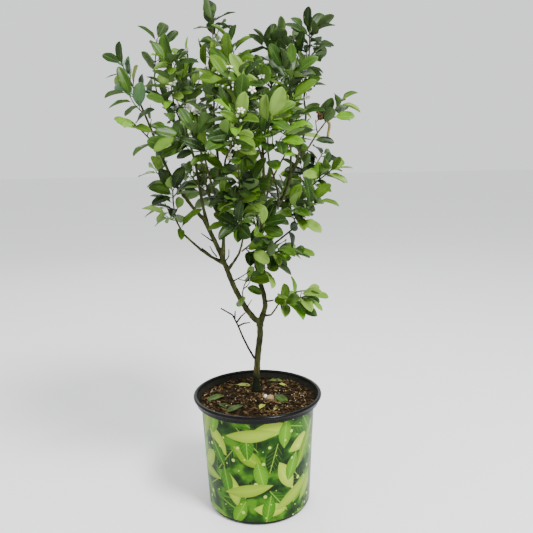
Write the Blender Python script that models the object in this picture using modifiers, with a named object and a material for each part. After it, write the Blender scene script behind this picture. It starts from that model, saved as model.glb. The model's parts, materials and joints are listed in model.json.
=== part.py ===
"""A small citrus bush in a round nursery pot, modelled as named solids.

The pot, its printed wrap, the soil, the trunk and every bough are one solid each.
Every mass of leaves is one solid too: a leader that carries on from its bough,
side twigs at the leader's nodes and leaves at theirs, all joined by one union.
The origin is the middle of the pot's underside, Z is up and sizes are in metres.
"""

import math
import random
from collections import namedtuple

import bmesh
import bpy
import numpy as np
from mathutils import Vector
from mathutils.bvhtree import BVHTree

# Pot, a turned shell with a rolled rim
POT_RIM_RADIUS = 0.1385
POT_RIM_HEIGHT = 0.2464
BEAD_RADIUS = 0.0040
POT_TOP_RADIUS = 0.1214
POT_BASE_RADIUS = 0.1097
POT_WALL = 0.0020
POT_FLOOR = 0.0030
POT_CORNER = 0.0070
SKIRT_RADIUS = 0.1338
SKIRT_TOP = 0.2415
SKIRT_BOTTOM = 0.2340
POT_SEGMENTS = 28

# Printed wrap round the pot's wall, and the soil inside it
WRAP_THICKNESS = 0.0008
WRAP_BOTTOM = 0.0085
WRAP_TOP = 0.2315
SOIL_EDGE_HEIGHT = 0.2320
SOIL_MOUND_HEIGHT = 0.2435
SOIL_MOUND_RADIUS = 0.034

# Every pair of neighbours that touch on the real plant keeps this gap
SEAT = 0.0003

# Trunk, from its flat cut at the soil to its fork
TRUNK_FOOT = (-0.003, 0.020)
TRUNK_ROUTE = ((0.001, 0.020, 0.311), (0.007, 0.015, 0.362), (0.010, 0.013, 0.382),
               (0.0085, 0.012, 0.393))
TRUNK_RADIUS = 0.0074
TRUNK_TIP_RADIUS = 0.0066
FLARE_RADIUS = 0.0098
FLARE_HEIGHT = 0.022
LIMB_STEP = 0.030
FACET_SLACK = 0.0006

# Growth of the twigs and leaves
UP = np.array((0.0, 0.0, 1.0))
DIVERGENCE = math.radians(137.5)
NODE_GAP = 0.019
LEADER_BARE = 0.14
TWIG_ANGLE = math.radians(52)
TWIG_LIFT = 0.55
TWIG_BARE = 0.30
TWIG_NODE_GAP = 0.018
TWIG_RADIUS = 0.0013
TWIG_TIP_RADIUS = 0.0008
LEADER_TIP_RADIUS = 0.0011
LEAF_ANGLE = math.radians(56)
LEAF_LENGTH = 0.051
LEAF_WIDTH = 0.55
LEAF_THICKNESS = 0.0009
LEAF_FOLD = 0.11
LEAF_CURL = 0.17
LEAF_SUNK = 0.0007
LEAF_HANG = 0.16
LIGHT_SIDE = np.array((0.0, -1.0, 0.0))
LEAF_TRIES = 6
HEART_GAP = 0.0185
SPACE_MARGIN = 0.0012
LIMB_MARGIN = 0.0014

# Open flowers, each a shallow cup on a stalk that leaves its twig at one of the marks
BLOSSOM_RADIUS = 0.0075
BLOSSOM_STALK_RADIUS = 0.0010
BLOSSOM_DEPTH = 0.0050
BLOSSOM_NEAR = 0.010
BLOSSOM_FAR = 0.030
BLOSSOM_MARKS = (0.15, 0.35, 0.55, 0.75, 0.95)

Limb = namedtuple("Limb", "parent at thick thin route")
Mass = namedtuple("Mass", "limb at thick reach seed route")

# Boughs: parent, place along it, radius at each end, and the points they pass, tip last
LIMBS = {
    "left_main": Limb("trunk", 1.0, 0.0064, 0.0044,
                      ((-0.006, 0.011, 0.413), (-0.022, 0.010, 0.436), (-0.046, 0.002, 0.486),
                       (-0.067, -0.015, 0.550), (-0.098, -0.030, 0.626))),
    "right_main": Limb("left_main", 0.02, 0.0056, 0.0047,
                       ((0.015, 0.014, 0.416), (0.021, 0.017, 0.431), (0.019, 0.022, 0.459),
                        (0.010, 0.026, 0.484), (0.005, 0.030, 0.519))),
    "low_twig": Limb("right_main", 0.08, 0.0022, 0.0018,
                     ((0.029, 0.004, 0.417), (0.039, -0.004, 0.430), (0.047, -0.013, 0.445))),
    "right_upper": Limb("right_main", 1.0, 0.0047, 0.0028,
                        ((0.008, 0.040, 0.576), (0.022, 0.050, 0.646), (0.023, 0.050, 0.734),
                         (0.021, 0.045, 0.796))),
    "outer_left": Limb("left_main", 1.0, 0.0038, 0.0024,
                       ((-0.117, -0.035, 0.649), (-0.141, -0.035, 0.683), (-0.164, -0.030, 0.719),
                        (-0.205, -0.012, 0.823))),
    "inner_left": Limb("left_main", 0.95, 0.0034, 0.0024,
                       ((-0.106, -0.010, 0.673), (-0.115, 0.000, 0.737), (-0.131, 0.010, 0.800))),
    "low_left": Limb("left_main", 0.62, 0.0034, 0.0022,
                     ((-0.100, -0.035, 0.562), (-0.139, -0.055, 0.603))),
    "centre_left": Limb("left_main", 0.66, 0.0036, 0.0024,
                        ((-0.061, -0.030, 0.625), (-0.067, -0.020, 0.727), (-0.075, -0.005, 0.816))),
    "front_left": Limb("centre_left", 0.30, 0.0026, 0.0020,
                       ((-0.079, -0.070, 0.699), (-0.087, -0.110, 0.747))),
    "front_up": Limb("centre_left", 0.40, 0.0026, 0.0018,
                     ((-0.052, -0.070, 0.746), (-0.033, -0.120, 0.773))),
    "back_left": Limb("centre_left", 0.22, 0.0028, 0.0020,
                      ((-0.090, 0.040, 0.664), (-0.109, 0.100, 0.726), (-0.116, 0.130, 0.780))),
    "front_centre": Limb("left_main", 0.56, 0.0030, 0.0020,
                         ((-0.031, -0.040, 0.560), (-0.022, -0.070, 0.595))),
    "top_mid": Limb("right_upper", 0.80, 0.0022, 0.0018,
                    ((-0.003, 0.010, 0.826), (-0.017, -0.035, 0.872))),
    "behind_top": Limb("right_upper", 0.88, 0.0022, 0.0018,
                       ((0.031, 0.075, 0.828), (0.041, 0.095, 0.875))),
    "right_bough": Limb("right_upper", 0.36, 0.0034, 0.0022,
                        ((0.049, 0.020, 0.647), (0.065, -0.010, 0.680), (0.074, -0.045, 0.721),
                         (0.074, -0.070, 0.763))),
    "right_top": Limb("right_bough", 0.45, 0.0028, 0.0020,
                      ((0.091, 0.005, 0.744), (0.111, 0.020, 0.814), (0.108, 0.020, 0.863))),
    "far_right": Limb("right_bough", 0.66, 0.0024, 0.0018,
                      ((0.095, -0.040, 0.747), (0.111, -0.038, 0.768))),
    "right_arm": Limb("right_bough", 0.34, 0.0024, 0.0019,
                      ((0.086, 0.005, 0.680), (0.117, 0.000, 0.690))),
    "right_low": Limb("right_main", 0.92, 0.0028, 0.0019,
                      ((0.030, 0.005, 0.560), (0.080, -0.040, 0.609))),
    "front_right": Limb("right_bough", 0.28, 0.0026, 0.0020,
                        ((0.045, -0.070, 0.697), (0.032, -0.120, 0.736))),
    "back_centre": Limb("right_upper", 0.26, 0.0030, 0.0020,
                        ((0.004, 0.100, 0.647), (-0.011, 0.150, 0.723), (-0.014, 0.170, 0.791))),
    "back_right": Limb("right_upper", 0.46, 0.0028, 0.0020,
                       ((0.042, 0.100, 0.701), (0.074, 0.150, 0.755))),
}

# Masses: bough, place along it, leader's radius, reach of the side twigs, seed
# and the points that the leader passes, tip last
MASSES = {
    "leaves_far_left_top": Mass("outer_left", 1.0, 0.0022, 0.055, 4,
                                ((-0.237, 0.000, 0.902), (-0.254, 0.000, 0.938))),
    "leaves_outer_left_mid": Mass("outer_left", 0.74, 0.0018, 0.060, 82,
                                  ((-0.207, -0.050, 0.800), (-0.224, -0.080, 0.819))),
    "leaves_outer_left_low": Mass("outer_left", 0.36, 0.0018, 0.055, 301,
                                  ((-0.182, 0.020, 0.708), (-0.204, 0.050, 0.724))),
    "leaves_left_top": Mass("inner_left", 0.94, 0.0021, 0.055, 381,
                            ((-0.172, 0.032, 0.848), (-0.196, 0.040, 0.900),
                             (-0.187, 0.040, 0.990))),
    "leaves_left_inner": Mass("inner_left", 0.88, 0.0016, 0.055, 316,
                              ((-0.150, -0.030, 0.855), (-0.149, -0.050, 0.907),
                               (-0.138, -0.050, 0.934))),
    "leaves_left_spire": Mass("inner_left", 1.0, 0.0020, 0.050, 406,
                              ((-0.133, 0.010, 0.861), (-0.123, 0.010, 0.950))),
    "leaves_top_centre": Mass("centre_left", 1.0, 0.0022, 0.055, 420,
                              ((-0.072, 0.000, 0.912), (-0.072, 0.000, 0.969),
                               (-0.072, 0.000, 1.020))),
    "leaves_top_mid": Mass("top_mid", 1.0, 0.0018, 0.055, 248,
                           ((-0.025, -0.045, 0.917), (-0.036, -0.035, 0.968))),
    "leaves_centre_high": Mass("front_up", 0.80, 0.0018, 0.060, 424,
                               ((-0.028, -0.100, 0.821), (-0.020, -0.110, 0.862),
                                (-0.014, -0.105, 0.889))),
    "leaves_front_bright": Mass("front_up", 1.0, 0.0018, 0.060, 322,
                                ((-0.028, -0.160, 0.789), (-0.018, -0.180, 0.815))),
    "leaves_centre_spire": Mass("right_upper", 1.0, 0.0022, 0.055, 39,
                                ((0.018, 0.040, 0.867), (0.017, 0.040, 0.916))),
    "leaves_behind_top": Mass("behind_top", 1.0, 0.0018, 0.055, 84,
                              ((0.046, 0.100, 0.930), (0.043, 0.100, 0.995))),
    "leaves_right_top": Mass("right_top", 1.0, 0.0020, 0.060, 117,
                             ((0.110, 0.020, 0.893), (0.119, 0.020, 0.951),
                              (0.119, 0.020, 0.998))),
    "leaves_right_green": Mass("right_bough", 1.0, 0.0020, 0.050, 343,
                               ((0.073, -0.085, 0.820), (0.071, -0.090, 0.898))),
    "leaves_far_right_top": Mass("far_right", 1.0, 0.0018, 0.050, 189,
                                 ((0.136, -0.030, 0.805), (0.155, -0.020, 0.826),
                                  (0.181, -0.010, 0.859))),
    "leaves_right_up": Mass("right_arm", 0.70, 0.0017, 0.055, 62,
                            ((0.125, 0.035, 0.720), (0.150, 0.060, 0.757))),
    "leaves_right_mid": Mass("right_arm", 1.0, 0.0018, 0.055, 253,
                             ((0.135, -0.015, 0.704), (0.160, -0.030, 0.725))),
    "leaves_right_low": Mass("right_low", 1.0, 0.0018, 0.060, 200,
                             ((0.097, -0.060, 0.633), (0.126, -0.070, 0.666))),
    "leaves_low_right": Mass("right_low", 0.45, 0.0018, 0.070, 320,
                             ((0.045, -0.040, 0.560), (0.081, -0.070, 0.572))),
    "leaves_low_twig": Mass("low_twig", 1.0, 0.0018, 0.050, 265,
                            ((0.060, -0.021, 0.452), (0.086, -0.033, 0.462),
                             (0.114, -0.042, 0.474))),
    "leaves_front_left": Mass("front_left", 1.0, 0.0018, 0.060, 88,
                              ((-0.094, -0.130, 0.765), (-0.107, -0.145, 0.800))),
    "leaves_front_low": Mass("front_centre", 1.0, 0.0021, 0.060, 430,
                             ((-0.024, -0.100, 0.650), (-0.026, -0.140, 0.735))),
    "leaves_front_right": Mass("front_right", 1.0, 0.0019, 0.060, 305,
                               ((0.028, -0.145, 0.762), (0.029, -0.155, 0.812))),
    "leaves_low_left": Mass("low_left", 1.0, 0.0020, 0.070, 163,
                            ((-0.153, -0.065, 0.637), (-0.155, -0.070, 0.690))),
    "leaves_back_left": Mass("back_left", 1.0, 0.0019, 0.060, 173,
                             ((-0.120, 0.140, 0.824), (-0.125, 0.140, 0.875))),
    "leaves_back_centre": Mass("back_centre", 1.0, 0.0019, 0.060, 233,
                               ((-0.015, 0.180, 0.836), (-0.018, 0.180, 0.890))),
    "leaves_back_right": Mass("back_right", 1.0, 0.0019, 0.060, 279,
                              ((0.088, 0.170, 0.800), (0.095, 0.170, 0.860))),
    "leaves_back_low_left": Mass("back_left", 0.45, 0.0018, 0.055, 352,
                                 ((-0.121, 0.120, 0.690), (-0.145, 0.145, 0.721))),
    "leaves_back_low_right": Mass("back_right", 0.25, 0.0018, 0.060, 250,
                                  ((0.056, 0.120, 0.655), (0.078, 0.160, 0.680))),
    "leaves_mid_low": Mass("front_centre", 0.50, 0.0017, 0.055, 15,
                           ((0.000, -0.070, 0.590), (0.018, -0.090, 0.625))),
    "leaves_fork": Mass("left_main", 0.24, 0.0014, 0.040, 109,
                        ((-0.026, -0.008, 0.480), (-0.012, -0.014, 0.505))),
    "leaves_centre": Mass("centre_left", 0.55, 0.0019, 0.060, 267,
                          ((-0.040, -0.035, 0.755), (-0.030, -0.045, 0.800))),
    "leaves_middle": Mass("right_upper", 0.24, 0.0019, 0.060, 125,
                          ((-0.010, 0.010, 0.660), (-0.024, -0.005, 0.730))),
}

# Where flowers open, by mass
BLOSSOMS = {
    "leaves_left_inner": ((-0.145, -0.056, 0.893),),
    "leaves_left_spire": ((-0.124, 0.000, 0.850),),
    "leaves_centre_high": ((-0.036, -0.132, 0.913), (-0.026, -0.140, 0.872), (-0.007, -0.128, 0.842)),
    "leaves_front_bright": ((-0.017, -0.200, 0.830),),
    "leaves_centre_spire": ((0.021, -0.004, 0.910),),
    "leaves_right_top": ((0.115, 0.008, 0.866),),
    "leaves_back_left": ((-0.124, 0.128, 0.854),),
    "leaves_centre": ((-0.047, -0.064, 0.757),),
}

# Dead twig on the trunk's left, bare to its ends
DEAD_TWIG_AT = 0.45
DEAD_TWIG_RADIUS = 0.0017
DEAD_TWIG_TIP_RADIUS = 0.0010
DEAD_TWIG_ROUTE = ((-0.008, 0.012, 0.325), (-0.016, 0.008, 0.342), (-0.026, 0.003, 0.367),
                   (-0.037, -0.001, 0.388), (-0.039, -0.004, 0.409), (-0.051, -0.008, 0.426),
                   (-0.073, -0.012, 0.440))
DEAD_SIDE_TWIGS = ((0.66, (-0.022, 0.004, 0.426)), (0.72, (-0.043, -0.012, 0.434)),
                   (0.60, (-0.013, 0.009, 0.402)))

COLOURS = {
    "pot": (0.022, 0.023, 0.024), "wrap": (0.20, 0.42, 0.05), "soil": (0.055, 0.032, 0.018),
    "wood": (0.135, 0.110, 0.045), "dead_twig": (0.060, 0.048, 0.032),
}
LEAF_COLOURS = ((0.035, 0.085, 0.012), (0.060, 0.150, 0.018), (0.110, 0.230, 0.030))


def unit(vector):
    """The vector at length one."""
    return vector / max(np.linalg.norm(vector), 1e-12)


class Path:
    """A line through points, read by the distance along it."""

    def __init__(self, points):
        self.points = np.array(points, dtype=float)
        steps = np.linalg.norm(np.diff(self.points, axis=0), axis=1)
        self.marks = np.concatenate(([0.0], np.cumsum(steps)))
        self.length = float(self.marks[-1])

    def at(self, distance):
        """Point and direction at a distance from the start."""
        place = min(max(distance, 0.0), self.length)
        step = min(int(np.searchsorted(self.marks, place, side="right")) - 1, len(self.marks) - 2)
        start, end = self.points[step], self.points[step + 1]
        share = (place - self.marks[step]) / (self.marks[step + 1] - self.marks[step])
        return start + (end - start) * share, unit(end - start)

    def cut(self, distance, pieces):
        """The path from a distance to its end, in equal pieces."""
        return Path([self.at(d)[0] for d in np.linspace(distance, self.length, pieces + 1)])


def smooth(points, before=None):
    """A path that runs smoothly through the points."""
    knots = [np.array(p, dtype=float) for p in points]
    first = knots[0] * 2 - knots[1] if before is None else np.array(before)
    knots = [first] + knots + [knots[-1] * 2 - knots[-2]]
    line = []
    for a, b, c, d in zip(knots, knots[1:], knots[2:], knots[3:]):
        for t in np.linspace(0, 1, 9)[:-1]:
            line.append(0.5 * (2 * b + (c - a) * t + (2 * a - 5 * b + 4 * c - d) * t ** 2
                               + (3 * b - a - 3 * c + d) * t ** 3))
    line.append(knots[-2])
    return Path(line)


class Solids:
    """Centre lines and radii of what stands already, to measure clearance from."""

    def __init__(self):
        self.starts, self.ends, self.radii, self.owners = [], [], [], []

    def add(self, owner, path, radii):
        """Adds a tapering line that belongs to an owner."""
        for i in range(len(path.points) - 1):
            self.starts.append(path.points[i])
            self.ends.append(path.points[i + 1])
            self.radii.append(radii[i])
            self.owners.append(owner)

    def freeze(self):
        """Arrays for quick measuring."""
        self.a = np.array(self.starts)
        self.ab = np.array(self.ends) - self.a
        self.aa = np.maximum((self.ab ** 2).sum(axis=1), 1e-12)
        self.r = np.array(self.radii)
        self.o = np.array(self.owners)
        return self

    def distances(self, points):
        """Distance of each point from each line's surface."""
        gap = points[:, None, :] - self.a[None]
        share = np.clip((gap * self.ab).sum(axis=2) / self.aa, 0, 1)
        away = gap - share[:, :, None] * self.ab
        return np.sqrt((away ** 2).sum(axis=2)) - self.r

    def clearance(self, points):
        """Smallest distance of any of the points from any surface."""
        return float(self.distances(points).min())

    def holds(self, points):
        """Whether any of the points lies well inside a line's tube."""
        gap = points[:, None, :] - self.a[None]
        share = (gap * self.ab).sum(axis=2) / self.aa
        away = np.linalg.norm(gap - share[:, :, None] * self.ab, axis=2)
        return bool(((share > 0) & (share < 1) & (away < self.r - FACET_SLACK)).any())

    def nearest_owner_ok(self, points, owner, margin):
        """Whether every point is nearer the owner's line than any other owner's."""
        away = self.distances(points)
        mine = self.o == owner
        return bool((away[:, mine].min(axis=1) + margin < away[:, ~mine].min(axis=1)).all())


def ring_points(path, distance, radius):
    """Eight points of the circle round a path at a distance."""
    centre, along = path.at(distance)
    side = unit(np.cross(along, UP + (0.3, 0.1, 0.0)))
    other = np.cross(along, side)
    turns = np.arange(8) * math.tau / 8
    return centre + radius * (np.cos(turns)[:, None] * side + np.sin(turns)[:, None] * other)


def taper(path, thick, thin):
    """Radii along a path that tapers evenly."""
    return np.interp(path.marks, (0, path.length), (thick, thin))


def limb_walls(plan, swell=0.0):
    """The surfaces of all limbs as one tree, swollen by a margin, to measure from."""
    corners, faces = [], []
    for path, radii in plan.values():
        first = len(corners)
        for mark, radius in zip(path.marks, radii):
            corners += [tuple(p) for p in ring_points(path, mark, radius + swell)]
        last = len(corners) - 8
        for low in range(first, last, 8):
            faces += [(low + i, low + (i + 1) % 8, low + 8 + (i + 1) % 8, low + 8 + i)
                      for i in range(8)]
        faces += [tuple(range(first, first + 8)), tuple(range(last, last + 8))]
    return BVHTree.FromPolygons(corners, faces)


def is_clear(path, radius, walls):
    """Whether a path's first ring is a seat's gap away from every wall."""
    ring = ring_points(path, 0.0, radius)
    rim = np.vstack((ring, (ring + np.roll(ring, -1, axis=0)) / 2))
    nearest = min(walls.find_nearest(Vector(p))[3] for p in rim)
    disc = BVHTree.FromPolygons([tuple(p) for p in ring], [tuple(range(8))])
    return nearest >= SEAT and not disc.overlap(walls)


def seated(parent, at, route, radius, solids, walls):
    """A path from its parent through a route, its first ring one seat's gap clear."""
    spot, along = parent.at(parent.length * at)
    if at == 1.0:
        whole = smooth((tuple(spot),) + route, before=spot - along * 0.03)
        collar = max(1.5 * radius, 0.003)
        rest = whole.cut(2 * collar, max(3, round(whole.length / LIMB_STEP)))
        return Path([spot + along * SEAT, spot + along * collar] + list(rest.points))
    whole = smooth((tuple(spot),) + route)
    start = radius
    while True:
        path = whole.cut(start, max(3, round(whole.length / LIMB_STEP)))
        sunk = solids.holds(ring_points(path, 0.0, radius))
        if not sunk and is_clear(path, radius, walls):
            return path
        start += 0.0001


def plan_trunk():
    """The trunk's centre line and radii, flared at the soil."""
    foot = np.array((*TRUNK_FOOT, SOIL_MOUND_HEIGHT + SEAT))
    whole = smooth((tuple(foot),) + TRUNK_ROUTE, before=foot - UP * 0.05)
    flare = [foot, foot + UP * FLARE_HEIGHT * 0.3, whole.at(FLARE_HEIGHT)[0]]
    path = Path(flare + list(whole.cut(2 * FLARE_HEIGHT, 5).points))
    radii = taper(path, TRUNK_RADIUS, TRUNK_TIP_RADIUS)
    radii[:2] = (FLARE_RADIUS, (FLARE_RADIUS + TRUNK_RADIUS) / 2)
    return path, radii


def plan_limbs():
    """Centre line and radii of the trunk and every bough, seated clear of each other."""
    solids = Solids()
    plan = {"trunk": plan_trunk()}
    solids.add("trunk", *plan["trunk"])
    dead = Limb("trunk", DEAD_TWIG_AT, DEAD_TWIG_RADIUS, DEAD_TWIG_TIP_RADIUS, DEAD_TWIG_ROUTE)
    for name, limb in [*LIMBS.items(), ("dead_twig", dead)]:
        path = seated(plan[limb.parent][0], limb.at, limb.route, limb.thick,
                      solids.freeze(), limb_walls(plan))
        plan[name] = (path, taper(path, limb.thick, limb.thin))
        solids.add(name, *plan[name])
    return plan, solids.freeze()


def plan_leaders(plan, limbs):
    """Each mass's leader, seated on its bough, and the lines that part their spaces."""
    leaders = {}
    lines = Solids()
    walls = limb_walls(plan)
    for name, mass in MASSES.items():
        path = seated(plan[mass.limb][0], mass.at, mass.route, mass.thick, limbs, walls)
        leaders[name] = path
        lines.add(name, path, np.zeros(len(path.points)))
    return leaders, lines.freeze()


Leaf = namedtuple("Leaf", "root along across normal length twig")
Twig = namedtuple("Twig", "path thick thin")
Blossom = namedtuple("Blossom", "stalk along")
Growth = namedtuple("Growth", "twigs leaves blossoms")


def leaf_points(leaf):
    """Root, left, tip, right and heart of a leaf, on its middle surface."""
    half = leaf.across * leaf.length * LEAF_WIDTH / 2
    wide = leaf.root + leaf.along * leaf.length * 0.55
    lift = leaf.normal * leaf.length * LEAF_FOLD
    tip = leaf.root + leaf.along * leaf.length - leaf.normal * leaf.length * LEAF_CURL
    return np.array((leaf.root, wide + half + lift, tip, wide - half + lift, wide))


def leaf_samples(leaf):
    """Points that stand for a leaf's blade when its clearance is measured."""
    root, left, tip, right, heart = leaf_points(leaf)
    return np.array((left, right, tip, heart, (left + tip) / 2, (right + tip) / 2,
                     root * 0.45 + left * 0.55, root * 0.45 + right * 0.55,
                     (heart + tip) / 2, root * 0.6 + heart * 0.4))


def blade_corners(leaf):
    """The blade past its stalk, as the corners of a left and a right triangle."""
    root, left, tip, right, heart = leaf_points(leaf)
    neck = root * 0.85 + heart * 0.15
    return [tuple(p) for p in (neck, left, tip, right)]


def ribbon_corners(start, end):
    """A twig's stretch as the corners of a thin ribbon."""
    side = unit(np.cross(end - start, UP + (0.2, 0.1, 0.0))) * TWIG_RADIUS
    return [tuple(p) for p in (start - side, end - side, end + side, start + side)]


class Grower:
    """Grows one mass by a seeded rule, and keeps it inside its own space."""

    def __init__(self, name, mass, leader, lines, limbs, walls, seed=None):
        self.name = name
        self.mass = mass
        self.leader = leader
        self.lines = lines
        self.limbs = limbs
        self.walls = walls
        self.rng = random.Random(mass.seed if seed is None else seed)
        self.twigs = [Twig(leader, mass.thick, LEADER_TIP_RADIUS)]
        self.leaves = []
        self.blossoms = []
        self.hearts = np.zeros((0, 3))
        self.sheets = []
        self.add_ribbons(leader)

    def fits(self, points):
        """Whether points lie in this mass's space, clear of every limb."""
        return (self.lines.nearest_owner_ok(points, self.name, SPACE_MARGIN)
                and self.limbs.clearance(points) > LIMB_MARGIN)

    def radial(self, along, turn):
        """The direction square to a twig at a turn round it."""
        side = unit(np.cross(along, (0.31, 0.95, 0.05)))
        return side * math.cos(turn) + np.cross(along, side) * math.sin(turn)

    def add_ribbons(self, path):
        """Notes where a twig runs, so that no leaf is put across it."""
        self.sheets += [ribbon_corners(a, b) for a, b in zip(path.points, path.points[1:])]

    def crosses(self, blade):
        """Whether a blade of four corners would cut through what is there already."""
        corners, faces = [], []
        for sheet in self.sheets:
            n = len(corners)
            corners += sheet
            faces += [(n, n + 1, n + 2), (n, n + 2, n + 3)]
        grown = BVHTree.FromPolygons(corners, faces)
        new = BVHTree.FromPolygons(blade, [(0, 1, 2), (0, 2, 3)])
        return bool(new.overlap(grown) or new.overlap(self.walls))

    def hits_limb(self, path):
        """Whether a twig would run through a limb."""
        start = path.at(path.length * 0.15)[0]
        corners = ribbon_corners(start, path.points[1]) + ribbon_corners(*path.points[1:])
        ribbon = BVHTree.FromPolygons(corners, [(0, 1, 2, 3), (4, 5, 6, 7)])
        return bool(ribbon.overlap(self.walls))

    def leaf(self, twig, spot, along, turn, spread):
        """One leaf at a node, turned on until it has room, or none."""
        for attempt in range(LEAF_TRIES):
            size = LEAF_LENGTH * self.rng.uniform(0.74, 1.16)
            droop = self.rng.uniform(-0.10, 0.55)
            sway = np.array([self.rng.uniform(-1, 1) for _ in range(3)])
            out = self.radial(along, turn + attempt * 1.1)
            way = along * math.cos(spread) + out * math.sin(spread) - UP * droop
            way = unit(way + UP * max(0.0, -LEAF_HANG - way[2]))
            outward = unit(np.array((spot[0], spot[1], 0.0)))
            face = along * 0.20 + UP * 0.55 + outward * 0.20 + LIGHT_SIDE * 0.42 + sway * 0.45
            normal = unit(face - way * face.dot(way))
            leaf = Leaf(spot - way * LEAF_SUNK, way, np.cross(way, normal), normal, size, twig)
            heart = leaf_points(leaf)[4]
            if len(self.hearts) and np.linalg.norm(self.hearts - heart, axis=1).min() < HEART_GAP:
                continue
            if self.fits(leaf_samples(leaf)) and not self.crosses(blade_corners(leaf)):
                self.leaves.append(leaf)
                self.hearts = np.vstack((self.hearts, heart))
                self.sheets.append(blade_corners(leaf))
                return

    def leafy_twig(self, index):
        """Leaves at a twig's nodes, and a few round its tip."""
        path = self.twigs[index].path
        bare = TWIG_BARE if index else LEADER_BARE
        turn = self.rng.uniform(0, math.tau)
        place = path.length * bare
        while index and place < path.length - 0.006:
            spot, along = path.at(place)
            self.leaf(index, spot, along, turn, LEAF_ANGLE)
            turn += DIVERGENCE
            place += TWIG_NODE_GAP * self.rng.uniform(0.85, 1.2)
        for step in range(2 if index else 3):
            spot, along = path.at(path.length - 0.0022 - 0.0042 * step)
            self.leaf(index, spot, along, turn, LEAF_ANGLE * (0.30 + 0.3 * step))
            turn += DIVERGENCE

    def side_twig(self, spot, along, turn, length):
        """One side twig, turned on until it has room, or none."""
        for attempt in range(4):
            out = self.radial(along, turn + attempt * 1.3)
            way = unit(along * math.cos(TWIG_ANGLE) + out * math.sin(TWIG_ANGLE))
            bend = spot + way * length / 2
            tip = bend + unit(way + UP * TWIG_LIFT) * length / 2
            path = Path((spot, bend, tip))
            points = np.array([path.at(length * t)[0] for t in np.linspace(0.3, 1.0, 9)])
            if self.fits(points) and not self.hits_limb(path):
                self.twigs.append(Twig(path, TWIG_RADIUS, TWIG_TIP_RADIUS))
                self.add_ribbons(path)
                return

    def blossom(self, place):
        """One flower on a stalk from the nearest twig that has room, towards a place."""
        place = np.array(place)
        spots = [twig.path.at(twig.path.length * mark)[0]
                 for twig in self.twigs for mark in BLOSSOM_MARKS]
        for spot in sorted(spots, key=lambda near: float(np.linalg.norm(near - place))):
            way = unit(place - spot)
            reach = min(max(float(np.linalg.norm(place - spot)), BLOSSOM_NEAR), BLOSSOM_FAR)
            mouth = spot + way * reach
            rim = ring_points(Path((spot, mouth)), reach, BLOSSOM_RADIUS)
            face = [tuple(p) for p in rim[::2]]
            if self.fits(np.vstack((rim, mouth))) and not self.crosses(face):
                self.blossoms.append(Blossom(Path((spot, mouth - way * BLOSSOM_DEPTH)), way))
                self.sheets.append(face)
                return

    def grow(self):
        """The whole mass: leader, side twigs, leaves and blossom."""
        turn = self.rng.uniform(0, math.tau)
        place = self.leader.length * LEADER_BARE
        node = self.rng.randrange(2)
        leaf_nodes = []
        while place < self.leader.length - 0.008:
            spot, along = self.leader.at(place)
            if node % 2:
                leaf_nodes.append((spot, along, turn))
            else:
                share = 1.0 - 0.45 * place / self.leader.length
                self.side_twig(spot, along, turn, self.mass.reach * share * self.rng.uniform(0.7, 1))
            turn += DIVERGENCE
            place += NODE_GAP * self.rng.uniform(0.8, 1.2)
            node += 1
        for spot, along, turn in leaf_nodes:
            self.leaf(0, spot, along, turn, LEAF_ANGLE)
        for index in range(len(self.twigs)):
            self.leafy_twig(index)
        bearing = {leaf.twig for leaf in self.leaves} | {0}
        self.twigs = [twig for k, twig in enumerate(self.twigs) if k in bearing]
        for place in BLOSSOMS.get(self.name, ()):
            self.blossom(place)
        return Growth(self.twigs, self.leaves, self.blossoms)


def principled(name, colour, roughness=0.5, metallic=0.0):
    """A material of one colour."""
    material = bpy.data.materials.new(name)
    material.use_nodes = True
    shader = material.node_tree.nodes["Principled BSDF"]
    shader.inputs["Base Color"].default_value = (*colour, 1.0)
    shader.inputs["Roughness"].default_value = roughness
    shader.inputs["Metallic"].default_value = metallic
    return material


def mesh_object(name, mesh, collection, material=None):
    """An object for a mesh in a collection."""
    thing = bpy.data.objects.new(name, mesh)
    collection.objects.link(thing)
    if material:
        mesh.materials.clear()
        mesh.materials.append(material)
    return thing


def face_outwards(shape):
    """Turns every face of a closed shape outwards."""
    bmesh.ops.recalc_face_normals(shape, faces=shape.faces)
    if shape.calc_volume(signed=True) < 0:
        bmesh.ops.reverse_faces(shape, faces=shape.faces)


def baked(thing, collection, merge=1e-6):
    """An object's evaluated shape as a plain mesh object, in place of the first."""
    depsgraph = bpy.context.evaluated_depsgraph_get()
    mesh = bpy.data.meshes.new_from_object(thing.evaluated_get(depsgraph))
    name = thing.name
    bpy.data.objects.remove(thing)
    shape = bmesh.new()
    shape.from_mesh(mesh)
    bmesh.ops.remove_doubles(shape, verts=shape.verts, dist=merge)
    face_outwards(shape)
    shape.to_mesh(mesh)
    shape.free()
    return mesh_object(name, mesh, collection)


def turned(name, profile, collection, material, closed=False):
    """A solid turned round Z from a profile of radius and height, top to bottom."""
    mesh = bpy.data.meshes.new(name)
    edges = [(i, i + 1) for i in range(len(profile) - 1)]
    if closed:
        edges.append((len(profile) - 1, 0))
    mesh.from_pydata([(r, 0.0, z) for r, z in profile], edges, [])
    thing = mesh_object(name, mesh, collection)
    screw = thing.modifiers.new("Turn", "SCREW")
    screw.steps = screw.render_steps = POT_SEGMENTS
    screw.use_merge_vertices = True
    screw.merge_threshold = 0.00001
    thing = baked(thing, collection)
    thing.data.materials.append(material)
    thing.data.shade_smooth()
    thing.data.set_sharp_from_angle(angle=math.radians(32))
    return thing


def arc(centre_radius, centre_height, radius, start, stop, steps):
    """Points of an arc in the turning plane, angles in degrees from outwards."""
    angles = np.radians(np.linspace(start, stop, steps + 1))
    return [(centre_radius + radius * math.cos(a), centre_height + radius * math.sin(a))
            for a in angles]


def wall_radius(height):
    """The pot wall's outer radius at a height."""
    share = height / SKIRT_BOTTOM
    return POT_BASE_RADIUS + (POT_TOP_RADIUS - POT_BASE_RADIUS) * share


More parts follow.
